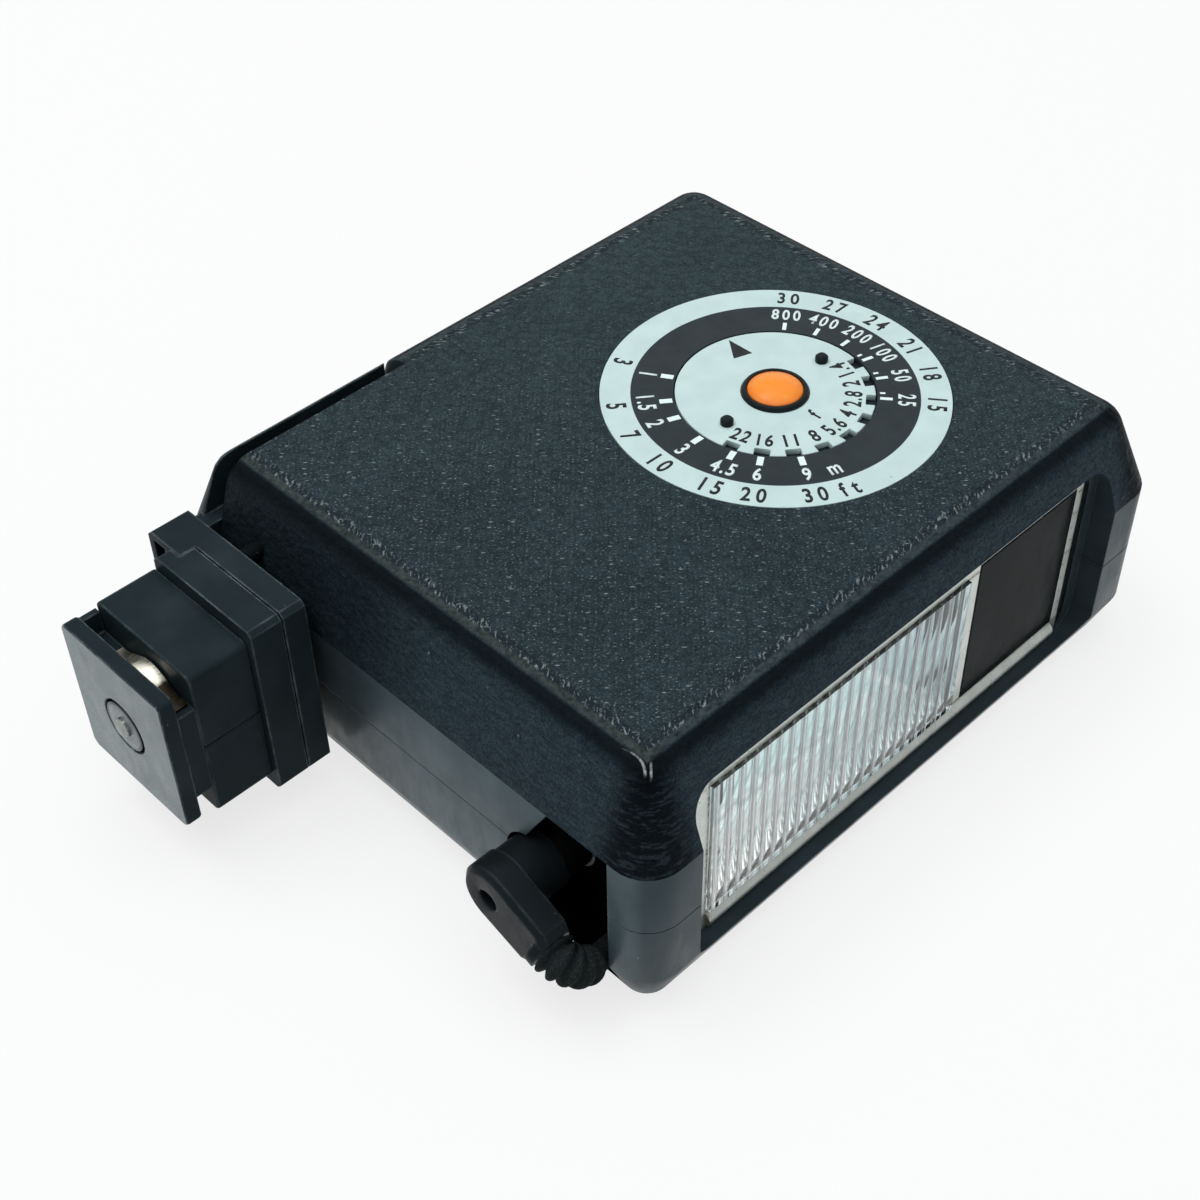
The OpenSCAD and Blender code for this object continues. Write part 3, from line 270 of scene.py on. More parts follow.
def grained(name):
    """Pebbled leather grain: glints on the dial face, painted lighter towards its far side; painted
    highlights on wrinkles over its edge with painted shade between them, a roll that is partly scuffed and
    partly painted light, and a painted dark band of shade; folds down the sides, painted shade on the
    vertical corners and a painted shadow of the foot; two painted highlight streaks on the near corner.
    """
    s = Shader(name)
    x, y = s.axis(0), s.axis(1)
    out_x = s.math("SUBTRACT", s.math("ABSOLUTE", x), TOP_X)
    out_y = s.math("SUBTRACT", s.math("ABSOLUTE", y), TOP_Y)
    rim = s.math("MAXIMUM", out_x, out_y)
    corner = s.step(s.math("MINIMUM", out_x, out_y), -1.8, 1.6)
    along = s.blend(s.math("GREATER_THAN", out_x, out_y), x, y)
    across = s.vec("DOT_PRODUCT", s.p, (0.7071, 0.7071, 0.0))
    aside = s.vec("DOT_PRODUCT", s.p, (0.7071, -0.7071, 0.0))
    turned = s.join(aside, across, 0.0)
    top = s.step(rim, 0.9, -0.3)

    # Relief of the grain
    pebble = s.cells(1.15, "SMOOTH_F1", 0.35)
    fine = s.cells(2.7)
    folds = s.noise(0.9, 3.0, 0.6, stretch=(0.8, 0.8, 2.6))
    height = s.math("ADD", s.math("MULTIPLY", pebble.outputs["Distance"], -0.9),
                    s.math("MULTIPLY", fine.outputs["Distance"], -0.35))
    height = s.math("ADD", height, s.math("MULTIPLY", folds, 0.45))

    # Ground colours of the dial face and the sides; the dial face is painted lighter towards its far side, a
    # painted light gradient
    cloud = s.step(s.noise(0.09, 4.0, 0.6), 0.35, 0.7)
    near = s.mix(cloud, (0.021, 0.0335, 0.0405), (0.0255, 0.0405, 0.049))
    far = s.mix(cloud, (0.027, 0.0425, 0.0475), (0.032, 0.0495, 0.0545))
    color = s.mix(s.step(across, -20.0, 30.0), near, far)
    color = s.mix(s.step(pebble.outputs["Distance"], 0.3, 0.75, 0.0, 0.35), color, (0.006, 0.008, 0.0095))
    side = s.mix(s.step(folds, 0.36, 0.62), (0.017, 0.028, 0.037), (0.027, 0.043, 0.054))
    # Painted shade on the vertical corners, with lighter wrinkle lines in it
    wrinkle = s.step(s.noise(1.0, 3.0, 0.6, stretch=(0.5, 0.5, 2.4)), 0.5, 0.62)
    corner_shade = s.mix(s.math("MULTIPLY", wrinkle, 0.5), (0.002, 0.003, 0.005), (0.03, 0.041, 0.05))
    side = s.mix(s.math("MULTIPLY", corner, 0.95), side, corner_shade)
    # Painted shadow of the foot over the grained sides at the foot's end
    foot_shadow = s.times(s.step(x, -36.5, -38.0), s.step(y, -7.0, 9.0))
    side = s.dim(side, s.blend(foot_shadow, 1.0, 0.4))
    color = s.mix(top, side, color)
    color = s.dim(color, s.step(s.noise(4.4, 2.0, 0.6), 0.3, 0.7, 0.6, 1.4))

    # The edge of the dial face: painted highlights on wrinkles across it with painted shade between them, a
    # smooth roll that is partly scuffed and partly painted light, then a painted dark band of shade
    lip = s.math("MULTIPLY", s.step(rim, -0.85, -0.25), s.step(rim, 0.7, 0.35))
    slant = s.math("ADD", along, s.math("MULTIPLY", s.math("ADD", rim, s.noise(1.2, 2.0)), 0.9))
    wrinkle_glint = s.join(s.math("MULTIPLY", slant, 2.4), s.math("MULTIPLY", rim, 1.1), 0.0)
    wrinkle_glint = s.step(s.noise(1.0, 2.0, 0.6, source=wrinkle_glint), 0.53, 0.68)
    color = s.mix(s.math("MULTIPLY", lip, 0.55), color, (0.008, 0.011, 0.0125))
    color = s.mix(s.times(wrinkle_glint, lip, 0.9), color, (0.2, 0.24, 0.245))
    roll = s.math("MULTIPLY", s.step(rim, 0.3, 0.65), s.step(rim, 1.45, 1.05))
    rubbed_and_lit = s.mix(s.step(x, -34.0, -36.0), (0.038, 0.05, 0.054), (0.043, 0.053, 0.05))
    rubbed_and_lit = s.dim(rubbed_and_lit, s.step(s.noise(1.6, 5.0, 0.7), 0.3, 0.7, 0.3, 1.35))
    color = s.mix(s.math("MULTIPLY", roll, 0.85), color, rubbed_and_lit)
    dark = s.math("MULTIPLY", s.step(rim, 1.15, 1.6), s.step(rim, 3.7, 2.2))
    color = s.mix(s.math("MULTIPLY", dark, 0.9), color, (0.0015, 0.002, 0.003))

    # Two painted highlight streaks on the near corner, the left one bowed
    bow = s.math("POWER", s.math("ADD", across, 49.4), 2.0)
    bow = s.math("ADD", s.math("ADD", s.math("MULTIPLY", bow, 0.3), 3.75), aside)
    left = s.step(s.math("ABSOLUTE", bow), 0.2, 0.05)
    left = s.times(left, s.step(across, -46.4, -48.6), s.step(across, -49.7, -49.1))
    right = s.step(s.math("ABSOLUTE", s.math("ADD", aside, 3.2)), 0.17, 0.05)
    right = s.times(right, s.step(across, -48.3, -48.8), s.step(across, -49.9, -49.3))
    patchy = s.step(s.noise(1.8, 3.0), 0.35, 0.65, 0.15, 0.75)
    color = s.mix(s.math("MULTIPLY", s.math("MAXIMUM", left, right), patchy), color, (0.45, 0.49, 0.5))

    # Glints and dust
    fade = s.math("MULTIPLY", top, s.step(across, 26.0, -8.0, 0.3, 1.0))
    for scale, size, share, stretch, strength in ((1.1, 0.12, 0.6, 0.36, 0.75), (1.9, 0.17, 0.6, 0.8, 0.65),
                                                  (3.3, 0.24, 0.5, 0.6, 0.35)):
        spots = specks(s, scale, size, share, s.vec("MULTIPLY", turned, (stretch, 1.0, 1.0)), True)
        color = s.mix(s.times(spots, fade, strength), color, GLINT)
    dust = specks(s, 0.3, 0.06, 0.4)
    color = s.mix(s.math("MULTIPLY", dust, 0.4), color, LINT)
    smudge = s.step(s.vec("DISTANCE", s.vec("MULTIPLY", s.p, (0.5, 1.0, 1.0)), (-0.6, -12.0, 33.0)), 4.2, 0.5)
    smudge = s.math("MULTIPLY", smudge, s.step(s.noise(0.9, 4.0), 0.45, 0.7, 0.0, 0.12))
    color = s.mix(smudge, color, (0.3, 0.31, 0.28))
    s.set(Base_Color=color, Roughness=s.step(s.noise(0.8, 4.0), 0.3, 0.7, 0.46, 0.58),
          Normal=s.bump(height, 0.7, 0.16))
    s.set(Specular_IOR_Level=0.035, Specular_Tint=TINT, IOR=1.5)
    return s.mat


def metal(name, base, rough, brushed=(1.0, 1.0, 1.0), grime=0.3, tone=None):
    """Plated or foil metal with fine brushing and a little grime."""
    s = Shader(name)
    lines = s.noise(3.0, 4.0, 0.6, stretch=brushed)
    dirt = s.step(s.noise(0.5, 5.0, 0.7), 0.5, 0.8, 0.0, grime)
    color = s.mix(dirt, base, tuple(c * 0.45 for c in base))
    if tone:
        color = tone(s, color)
    s.set(Base_Color=color, Roughness=s.step(lines, 0.3, 0.7, rough - 0.05, rough + 0.1),
          Normal=s.bump(lines, 0.1, 0.02))
    s.set(Metallic=1.0)
    return s.mat


def leaf_tone(s, color):
    """Dark specks, and the leaf darkened to near black over its near end."""
    low, high = corners("shoe_spring")
    start = low.y + 0.3 * (high.y - low.y)
    color = s.mix(s.math("MULTIPLY", specks(s, 1.6, 0.2, 0.5), 0.8), color, (0.1, 0.085, 0.06))
    end = s.math("ADD", s.axis(1), s.math("MULTIPLY", s.noise(0.9, 4.0), 1.6))
    return s.mix(s.step(end, start + 1.2, start + 0.4), color, (0.02, 0.016, 0.011))


def frame_metal(name):
    """Pale silver frame, with brown grime along the lens opening, painted shade darkening its bottom edge and
    a dark strip at its far end.
    """
    s = Shader(name)
    x, z = s.axis(0), s.axis(2)
    low, high = corners("window_lens")
    gx = s.math("ABSOLUTE", s.math("SUBTRACT", x, low.x - 0.05))
    gz = s.math("ABSOLUTE", s.math("SUBTRACT", z, (low.z + high.z) / 2))
    gz = s.math("ABSOLUTE", s.math("SUBTRACT", gz, (high.z - low.z) / 2 + 0.05))
    near = s.step(s.math("MINIMUM", gx, s.math("ADD", gz, 0.12)), 0.55, 0.08)
    grime = s.math("MULTIPLY", near, s.step(s.noise(1.4, 4.0, 0.7), 0.36, 0.62, 0.0, 0.9))
    tone = s.step(s.noise(0.4, 4.0), 0.3, 0.75)
    color = s.mix(tone, (0.6, 0.64, 0.6), (0.72, 0.75, 0.71))
    # Painted shade: the frame is darker along its bottom
    rail = s.step(z, low.z + 0.3, low.z - 0.2)
    color = s.dim(color, s.blend(rail, 1.0, 0.62))
    color = s.mix(grime, color, (0.13, 0.095, 0.05))
    strip = corners("window_frame")[1].x - 1.25
    color = s.mix(s.step(x, strip - 0.1, strip + 0.1), color, (0.008, 0.01, 0.011))
    s.set(Base_Color=color, Roughness=s.step(s.noise(1.0, 4.0), 0.3, 0.7, 0.26, 0.4),
          Normal=s.bump(s.noise(3.0, 2.0), 0.08, 0.02))
    s.set(Metallic=0.55, Specular_IOR_Level=0.3)
    return s.mat


def fluted(name):
    """Clear moulded lens whose colour paints what shows in and through it: painted dark lines between flutes,
    a painted mint reflection above a broken line, painted grey past a slanting one and a painted chain of
    highlights along that slant.
    """
    s = Shader(name)
    low, high = corners("window_lens")
    run = s.math("DIVIDE", s.math("SUBTRACT", s.axis(0), low.x), high.x - low.x)
    rise = s.math("DIVIDE", s.math("SUBTRACT", s.axis(2), low.z), high.z - low.z)
    flute = s.math("MULTIPLY", run, FLUTES)
    share = s.math("FRACT", flute)
    hop = s.tree.nodes.new("ShaderNodeTexWhiteNoise")
    hop.noise_dimensions = "1D"
    s.put(hop.inputs["W"], s.math("FLOOR", flute))
    hop = hop.outputs["Value"]
    line = s.step(s.math("ABSOLUTE", s.math("SUBTRACT", share, 0.5)), 0.43, 0.47)
    broken = s.math("ADD", rise, s.math("MULTIPLY", hop, 0.05))
    upper = s.step(broken, 0.75, 0.77)
    seam = s.times(s.step(broken, 0.71, 0.75), s.step(broken, 0.79, 0.76), s.step(run, 0.5, 0.4))
    slope = s.math("SUBTRACT", s.math("MULTIPLY", run, 2.25), 2.28)
    slant = s.math("ADD", s.math("ADD", rise, slope), s.math("MULTIPLY", hop, 0.08))
    beyond = s.step(slant, -0.02, 0.02)
    chain = s.times(s.step(s.math("ABSOLUTE", slant), 0.04, 0.015), s.step(run, 0.55, 0.6))
    streak = s.step(s.noise(1.3, 3.0, 0.6, stretch=(1.0, 1.0, 0.1)), 0.36, 0.62)
    # Painted reflection and refraction of the reflector: white towards the foot's end, mint above, grey
    # beyond the slant
    color = s.mix(streak, (0.66, 0.77, 0.79), (1.0, 1.0, 1.0))
    color = s.mix(s.step(run, 0.45, 0.25), color, (1.0, 1.0, 1.0))
    color = s.mix(upper, color, (0.8, 0.94, 0.94))
    color = s.mix(beyond, color, s.mix(streak, (0.52, 0.63, 0.66), (0.82, 0.91, 0.92)))
    color = s.mix(chain, color, (1.0, 1.0, 1.0))
    color = s.mix(s.math("MULTIPLY", seam, 0.6), color, (0.3, 0.36, 0.37))
    color = s.mix(s.math("MULTIPLY", line, 0.85), color, (0.2, 0.25, 0.25))
    s.set(Base_Color=color, Roughness=s.step(s.noise(0.7, 4.0), 0.4, 0.75, 0.01, 0.05))
    s.set(Transmission_Weight=1.0, IOR=1.49, Specular_IOR_Level=0.1)
    return s.mat


def glass(name, tint, rough):
    """Clear tinted glass of the tube and the lamp, with a little haze."""
    s = Shader(name)
    s.set(Roughness=s.step(s.noise(0.7, 4.0), 0.4, 0.75, rough, rough + 0.05))
    s.set(Base_Color=tint, Transmission_Weight=1.0, IOR=1.47)
    return s.mat


def dial_print(name, inner):
    """Dial faces: black inside the pale outer band on the ring, pale all over on the disc."""
    s = Shader(name)
    out = s.vec("LENGTH", s.vec("MULTIPLY", s.vec("SUBTRACT", s.p, tuple(DIAL)), (1.0, 1.0, 0.0)))
    tone = s.step(s.noise(0.3, 4.0), 0.3, 0.7)
    pale = s.mix(tone, (0.5, 0.64, 0.635), (0.545, 0.685, 0.675))
    grime = specks(s, 0.5, 0.09, 0.12)
    patch = s.step(s.noise(0.22, 5.0, 0.7), 0.58, 0.72, 0.0, 0.16)
    pale = s.mix(s.math("MULTIPLY", grime, 0.5), pale, (0.2, 0.19, 0.16))
    pale = s.mix(patch, pale, (0.45, 0.47, 0.4))
    if inner:
        ink = s.step(out, inner + 0.03, inner - 0.03)
        dark = s.mix(tone, (0.014, 0.021, 0.026), (0.019, 0.027, 0.032))
        pale = s.mix(ink, pale, dark)
    s.set(Base_Color=pale, Roughness=s.step(s.noise(0.9, 4.0), 0.3, 0.7, 0.34, 0.5),
          Normal=s.bump(s.noise(4.0, 2.0), 0.06, 0.02))
    s.set(Specular_IOR_Level=0.15)
    return s.mat


def ink(name, color):
    """Printing ink, a little faded in places."""
    s = Shader(name)
    fade = s.step(s.noise(1.6, 4.0), 0.35, 0.8, 0.0, 0.25)
    s.set(Base_Color=s.mix(fade, color, tuple(0.75 * c + 0.04 for c in color)),
          Roughness=s.step(s.noise(2.0, 3.0), 0.3, 0.7, 0.4, 0.55))
    s.set(Specular_IOR_Level=0.15)
    return s.mat


def orange(name):
    """Translucent orange of the test button, deeper round its edge."""
    s = Shader(name)
    out = s.vec("LENGTH", s.vec("MULTIPLY", s.vec("SUBTRACT", s.p, tuple(DIAL)), (1.0, 1.0, 0.0)))
    rim = s.step(out, BUTTON_R - 1.0, BUTTON_R)
    cloud = s.step(s.noise(0.6, 4.0), 0.3, 0.7, 0.0, 0.35)
    color = s.mix(rim, (0.93, 0.27, 0.02), (0.72, 0.15, 0.008))
    color = s.mix(cloud, color, (0.96, 0.33, 0.04))
    s.set(Base_Color=color, Roughness=s.step(s.noise(1.5, 4.0), 0.3, 0.7, 0.22, 0.34),
          Normal=s.bump(s.noise(2.4, 3.0), 0.05, 0.02))
    s.set(Subsurface_Weight=0.25, Subsurface_Radius=(1.0, 0.35, 0.1), Subsurface_Scale=0.0012,
          Specular_IOR_Level=0.25)
    return s.mat


def rubber(name):
    """Sandy matt rubber with dust in its texture."""
    s = Shader(name)
    sand = s.noise(5.0, 4.0, 0.7)
    color = s.mix(s.step(sand, 0.45, 0.7), (0.01, 0.0125, 0.0135), (0.03, 0.036, 0.038))
    color = s.mix(s.math("MULTIPLY", specks(s, 1.1, 0.12, 0.25), 0.5), color, (0.28, 0.27, 0.24))
    s.set(Base_Color=color, Roughness=s.step(sand, 0.3, 0.7, 0.55, 0.75), Normal=s.bump(sand, 0.5, 0.08))
    s.set(Specular_IOR_Level=0.04, Specular_Tint=TINT)
    return s.mat


def matt(name, base):
    """Deep shade of a recess: nothing shines."""
    s = Shader(name)
    tone = s.step(s.noise(0.5, 3.0), 0.3, 0.7)
    s.set(Base_Color=s.mix(tone, base, tuple(c * 1.5 for c in base)),
          Roughness=s.step(s.noise(1.0, 3.0), 0.3, 0.7, 0.85, 0.95))
    s.set(Specular_IOR_Level=0.0)
    return s.mat


def plain(name, base, rough, metallic=0.0):
    """Inner pieces: a toned base with small variation."""
    s = Shader(name)
    tone = s.step(s.noise(0.5, 4.0), 0.3, 0.75)
    s.set(Base_Color=s.mix(tone, base, tuple(min(1.0, c * 1.3) for c in base)),
          Roughness=s.step(s.noise(1.2, 3.0), 0.3, 0.7, rough - 0.06, rough + 0.06),
          Normal=s.bump(s.noise(2.5, 3.0), 0.12, 0.03))
    s.set(Metallic=metallic)
    return s.mat


SATIN = plastic("satin_black", (0.027, 0.039, 0.045), 0.36, spec=0.2, tone=case_painted_light)
FOOT = plastic("foot_black", (0.0128, 0.0195, 0.023), 0.38, grain=0.2, dust=0.8, spec=0.03, edge=0.35,
               worn_and_glint=0.8)
# The foot plate's end face and the disc in it: a lit copy of the foot's black, painted light
LIT_FACE_BASE = (0.12, 0.15, 0.155)
FOOT_FACE_LIT = plastic("foot_face_lit", LIT_FACE_BASE, 0.3, grain=0.12, spec=0.35, edge=0.25)
INSULATOR = plastic("insulator_lit_grey", LIT_FACE_BASE, 0.3, grain=0.12, spec=0.35, edge=0.1, tone=insulator_gap_shade)
STUD = plastic("stud_black", (0.003, 0.004, 0.0045), 0.5, spec=0.02, worn_and_glint=0.05)
RECESS = plastic("recess_black", (0.024, 0.034, 0.04), 0.55, spec=0.05, worn_and_glint=0.3)
GRAINED = grained("grained_black")
SHADE = matt("recess_shade", (0.0012, 0.0015, 0.0017))
DARK = plastic("dark_plastic", (0.006, 0.0075, 0.008), 0.4, spec=0.12)
GLOSS = plastic("gloss_black", (0.0068, 0.009, 0.0097), 0.18, grain=0.05, dust=0.4, spec=0.02)
PLUG_BLACK = plastic("plug_black", (0.006, 0.008, 0.0095), 0.34, grain=0.6, spec=0.07, edge=0.5, worn_and_glint=0.22)
FRAME_METAL = frame_metal("frame_silver")
FOIL = metal("reflector_foil", (0.97, 0.985, 0.98), 0.12, grime=0.05)
STEEL = metal("plated_steel", (0.62, 0.61, 0.57), 0.28, (0.2, 1.0, 1.0))
LEAF = metal("leaf_spring", (0.74, 0.71, 0.6), 0.3, (0.3, 1.0, 1.0), tone=leaf_tone)
PIN = metal("contact_plating", (0.3, 0.31, 0.3), 0.34)
BRASS = metal("turned_brass", (0.68, 0.5, 0.22), 0.3)
DULL = metal("dull_plating", (0.03, 0.032, 0.034), 0.4, grime=0.5)
LENS = fluted("lens_clear")
TUBE = glass("tube_clear", (0.95, 0.97, 0.98), 0.01)
LAMP = glass("lamp_clear", (1.0, 0.85, 0.7), 0.02)
RING = dial_print("dial_ring_print", RING_BLACK_R)
DISC = dial_print("dial_disc_print", 0.0)
ORANGE = orange("orange_button")
RUBBER = rubber("black_rubber")
WHITE_INK = ink("white_ink", (0.74, 0.86, 0.86))
BLACK_INK = ink("black_ink", (0.012, 0.014, 0.016))

USES = {
    SATIN: ["upper_shell", "lower_shell", "battery_door", "power_slider", "battery_box"],
    FOOT: ["tilt_bracket", "foot_collar", "neck_upper", "neck_lower", "foot_waist", "foot_plate"],
    FRAME_METAL: ["window_frame"],
    LENS: ["window_lens"],
    GLOSS: ["window_plate"],
    FOIL: ["reflector"],
    TUBE: ["flash_tube"],
    RUBBER: ["tube_caps", "lead_grommet"],
    PLUG_BLACK: ["plug_head"],
    RING: ["dial_ring"],
    DISC: ["calculator_disc"],
    DARK: ["dial_bezel", "disc_nubs", "switch_body", "parking_peg"],
    STUD: ["detent_stud"],
    INSULATOR: ["contact_insulator"],
    PIN: ["contact_pin"],
    BRASS: ["bezel_nut"],
    LAMP: ["ready_lamp"],
    STEEL: ["battery_contacts", "door_contact", "door_pin", "hinge_pin", "case_screws"],
    LEAF: ["shoe_spring"],
    DULL: ["plug_barrel"],
    plain("cell_sleeve", (0.05, 0.055, 0.06), 0.35, 0.4): ["cell_front", "cell_rear"],
    plain("enamelled_wire", (0.3, 0.1, 0.03), 0.35, 0.6): ["trigger_coil", "transformer"],
    plain("capacitor_sleeve", (0.02, 0.025, 0.08), 0.3): ["main_capacitor"],
    plain("laminate", (0.22, 0.16, 0.07), 0.5): ["circuit_board"],
}
for material, names in USES.items():
    for n in names:
        nodes[n].data.materials.clear()
        nodes[n].data.materials.append(material)


def paint(name, extra, rule):
    """Gives some faces another material: rule turns a face's centre, normal and low edge into a slot."""
    me = nodes[name].data
    for material in extra:
        me.materials.append(material)
    for poly in me.polygons:
        low = min(me.vertices[i].co.z for i in poly.vertices) / MM
        poly.material_index = rule(poly.center / MM, poly.normal, low)


def within(c, low, high):
    return all(a < v < b for a, v, b in zip(low, c, high))


def in_notch(c):
    """Inside of the notch that the plug is parked in."""
    return within(c, NOTCH_LOW, NOTCH_HIGH)


def in_window(c, n):
    """Walls and ledge of the window recess."""
    return within(c, WINDOW_LOW, WINDOW_HIGH) and (abs(n.y) < 0.3 or abs(c.y - WINDOW_LEDGE_Y) < ON_PLANE)


def upper_rule(c, n, low):
    """Upper shell: grain outside, except in the dial's pocket and on the walls beside the arm."""
    if in_notch(c):
        return 2
    if in_window(c, n):
        return 3
    pocket = (c.xy - DIAL.xy).length < DIAL_POCKET_R
    wall = abs(c.y - ARM_WALL_Y) < ON_PLANE or abs(c.x - ARM_WALL_X) < ON_PLANE
    return 1 if low > GRAIN_Z - 0.02 and n.z > -0.05 and not pocket and not wall else 0


def lower_rule(c, n, low):
    return 1 if in_notch(c) else 2 if in_window(c, n) else 0


paint("upper_shell", (GRAINED, SHADE, RECESS), upper_rule)
paint("lower_shell", (SHADE, RECESS), lower_rule)
# The foot plate's end face gets the lit copy: painted light
paint("foot_plate", (FOOT_FACE_LIT,), lambda c, n, low: 1 if n.x < -0.9 and c.x < FOOT_FACE_X else 0)

# Edge rounding of the moulded pieces, in millimetres
WELD_M, HARD_EDGE, FACE_WEIGHT = 2e-6, math.radians(28), 80
EDGES = {
    "upper_shell": 0.25, "lower_shell": 0.25, "window_frame": 0.5, "window_lens": 0.12, "window_plate": 0.08,
    "tilt_bracket": 0.35, "foot_collar": 0.3, "neck_upper": 0.45, "neck_lower": 0.45, "foot_waist": 0.1,
    "foot_plate": 0.3, "shoe_spring": 0.08, "contact_insulator": 0.12, "contact_pin": 0.15, "dial_ring": 0.06,
    "calculator_disc": 0.08, "dial_bezel": 0.08, "disc_nubs": 0.12, "plug_head": 0.5,
    "plug_barrel": 0.12, "battery_door": 0.2, "power_slider": 0.15, "case_screws": 0.08, "detent_stud": 0.3,
    "parking_peg": 0.15, "reflector": 0.05, "lead_grommet": 0.2,
}


def soften(obj, width):
    """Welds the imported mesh, rounds its hard edges and weights its normals by face."""
    me = obj.data
    if "custom_normal" in me.attributes:
        me.attributes.remove(me.attributes["custom_normal"])
    for poly in me.polygons:
        poly.use_smooth = True
    weld = obj.modifiers.new("weld", "WELD")
    weld.merge_threshold = WELD_M
    if width:
        bevel = obj.modifiers.new("bevel", "BEVEL")
        bevel.width = width * MM
        bevel.segments = 3 if width >= 0.2 else 2
        bevel.limit_method = "ANGLE"
        bevel.angle_limit = HARD_EDGE
        bevel.use_clamp_overlap = True
        bevel.harden_normals = False
    weights = obj.modifiers.new("normals", "WEIGHTED_NORMAL")
    weights.weight = FACE_WEIGHT
    weights.keep_sharp = False


for n, obj in nodes.items():
    soften(obj, EDGES.get(n, 0.0))


# Printed figures
INK_BOLD, INK_THICK, LETTER_SHARE = 0.024, 0.02, 0.72


def flat_text(text, height, squeeze, spacing):
    """A mesh of one figure group, centred on the origin, height tall, facing up."""
    curve = bpy.data.curves.new("figures", "FONT")
    curve.body = text
    curve.align_x = "CENTER"
    curve.align_y = "CENTER"
    curve.resolution_u = 6
    curve.offset = INK_BOLD
    curve.space_character = spacing
    obj = bpy.data.objects.new("figures", curve)
    scene.collection.objects.link(obj)
    dg = bpy.context.evaluated_depsgraph_get()
    me = bpy.data.meshes.new_from_object(obj.evaluated_get(dg))
    bpy.data.objects.remove(obj)
    ys = [v.co.y for v in me.vertices]
    xs = [v.co.x for v in me.vertices]
    k = height / (max(ys) - min(ys)) if text not in ("f", "m", "ft") else height / LETTER_SHARE
    mid = Vector(((max(xs) + min(xs)) / 2, (max(ys) + min(ys)) / 2, 0))
    for v in me.vertices:
        d = (v.co - mid) * k
        v.co = (d.x * squeeze, d.y, 0)
    return me


class Print:
    """Collects flat print on the dial into one thin mesh."""

    def __init__(self, name, material, body, z):
        self.name, self.material, self.body, self.z = name, material, body, z
        self.bm = bmesh.new()

    def add(self, me, angle, radius, top_out):
        """Puts a flat mesh at an angle and radius, its top outward or inward."""
        turn = math.radians(angle - 90 if top_out else angle + 90)
        a = math.radians(angle)
        move = Matrix.Translation((DIAL.x + radius * math.cos(a), DIAL.y + radius * math.sin(a), self.z))
        me.transform(move @ Matrix.Rotation(turn, 4, "Z"))
        self.bm.from_mesh(me)

    def text(self, text, angle, radius, height, top_out=False, squeeze=0.72, spacing=1.2):
        self.add(flat_text(text, height, squeeze, spacing), angle, radius, top_out)

    def patch(self, points, angle):
        me = bpy.data.meshes.new("patch")
        me.from_pydata([(x, y, 0) for x, y in points], [], [list(range(len(points)))])
        self.add(me, angle, 0.0, True)

    def tick(self, angle, r0, r1, width):
        h = width / 2
        self.patch([(-h, r0), (h, r0), (h, r1), (-h, r1)], angle)

    def build(self):
        bmesh.ops.remove_doubles(self.bm, verts=self.bm.verts, dist=1e-5)
        bmesh.ops.scale(self.bm, vec=(MM, MM, MM), verts=self.bm.verts)
        me = bpy.data.meshes.new(self.name)
        self.bm.to_mesh(me)
        self.bm.free()
        me.materials.append(self.material)
        obj = bpy.data.objects.new(self.name, me)
        scene.collection.objects.link(obj)
        thick = obj.modifiers.new("ink", "SOLIDIFY")
        thick.thickness = INK_THICK * MM
        thick.offset = 1.0
        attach(obj, self.body)


SPEED_START, SPEED_STEP, DEGREE_STEP, STOP_START, STOP_STEP = 36.5, 17.7, 18, -163.5, 18.2
FOOT_M = 0.3048
white = Print("ring_figures_white", WHITE_INK, "case", DIAL.z)
black = Print("ring_figures_black", BLACK_INK, "case", DIAL.z)
for i, text in enumerate(("800", "400", "200", "100", "50", "25")):
    angle = SPEED_START - SPEED_STEP * i
    white.text(text, angle, radius=14.75, height=2.05, top_out=True, squeeze=0.66, spacing=1.4)
    white.tick(angle, r0=11.75, r1=13.15, width=0.46)
    if i >= 3:
        white.tick(angle + 4.6, r0=11.75, r1=12.35, width=0.3)
for i, text in enumerate(("30", "27", "24", "21", "18", "15")):
    black.text(text, SPEED_START - DEGREE_STEP * i, radius=18.1, height=2.2, top_out=True, spacing=1.5)


def distance_angle(metres):
    """The distance scale is logarithmic."""
    return 121.6 + 35.8 * math.log2(metres)


for metres in (1, 1.5, 2, 3, 4.5, 6, 9):
    white.text(f"{metres:g}", distance_angle(metres), radius=14.65, height=2.1)
    white.tick(distance_angle(metres), r0=11.7, r1=13.15, width=0.74)
for feet in (3, 5, 7, 10, 15, 20, 30):
    black.text(f"{feet}", distance_angle(feet * FOOT_M) - 0.6, radius=18.05, height=2.3, spacing=1.5)
white.text("m", 247.3, radius=14.8, height=2.05)
black.text("ft", 247.4, radius=18.1, height=2.2, spacing=1.75)
white.build()
black.build()

disc = Print("disc_figures", BLACK_INK, "dial", DISC_TOP)
for i, text in enumerate(("22", "16", "11", "8", "5.6", "4", "2.8", "2", "1.4")):
    disc.text(text, STOP_START + STOP_STEP * i, radius=8.75, height=2.05)
disc.text("f", -90, radius=5.8, height=1.9)
disc.patch([(-1.2, 7.5), (1.2, 7.5), (0.0, 10.9)], 71)
disc.build()


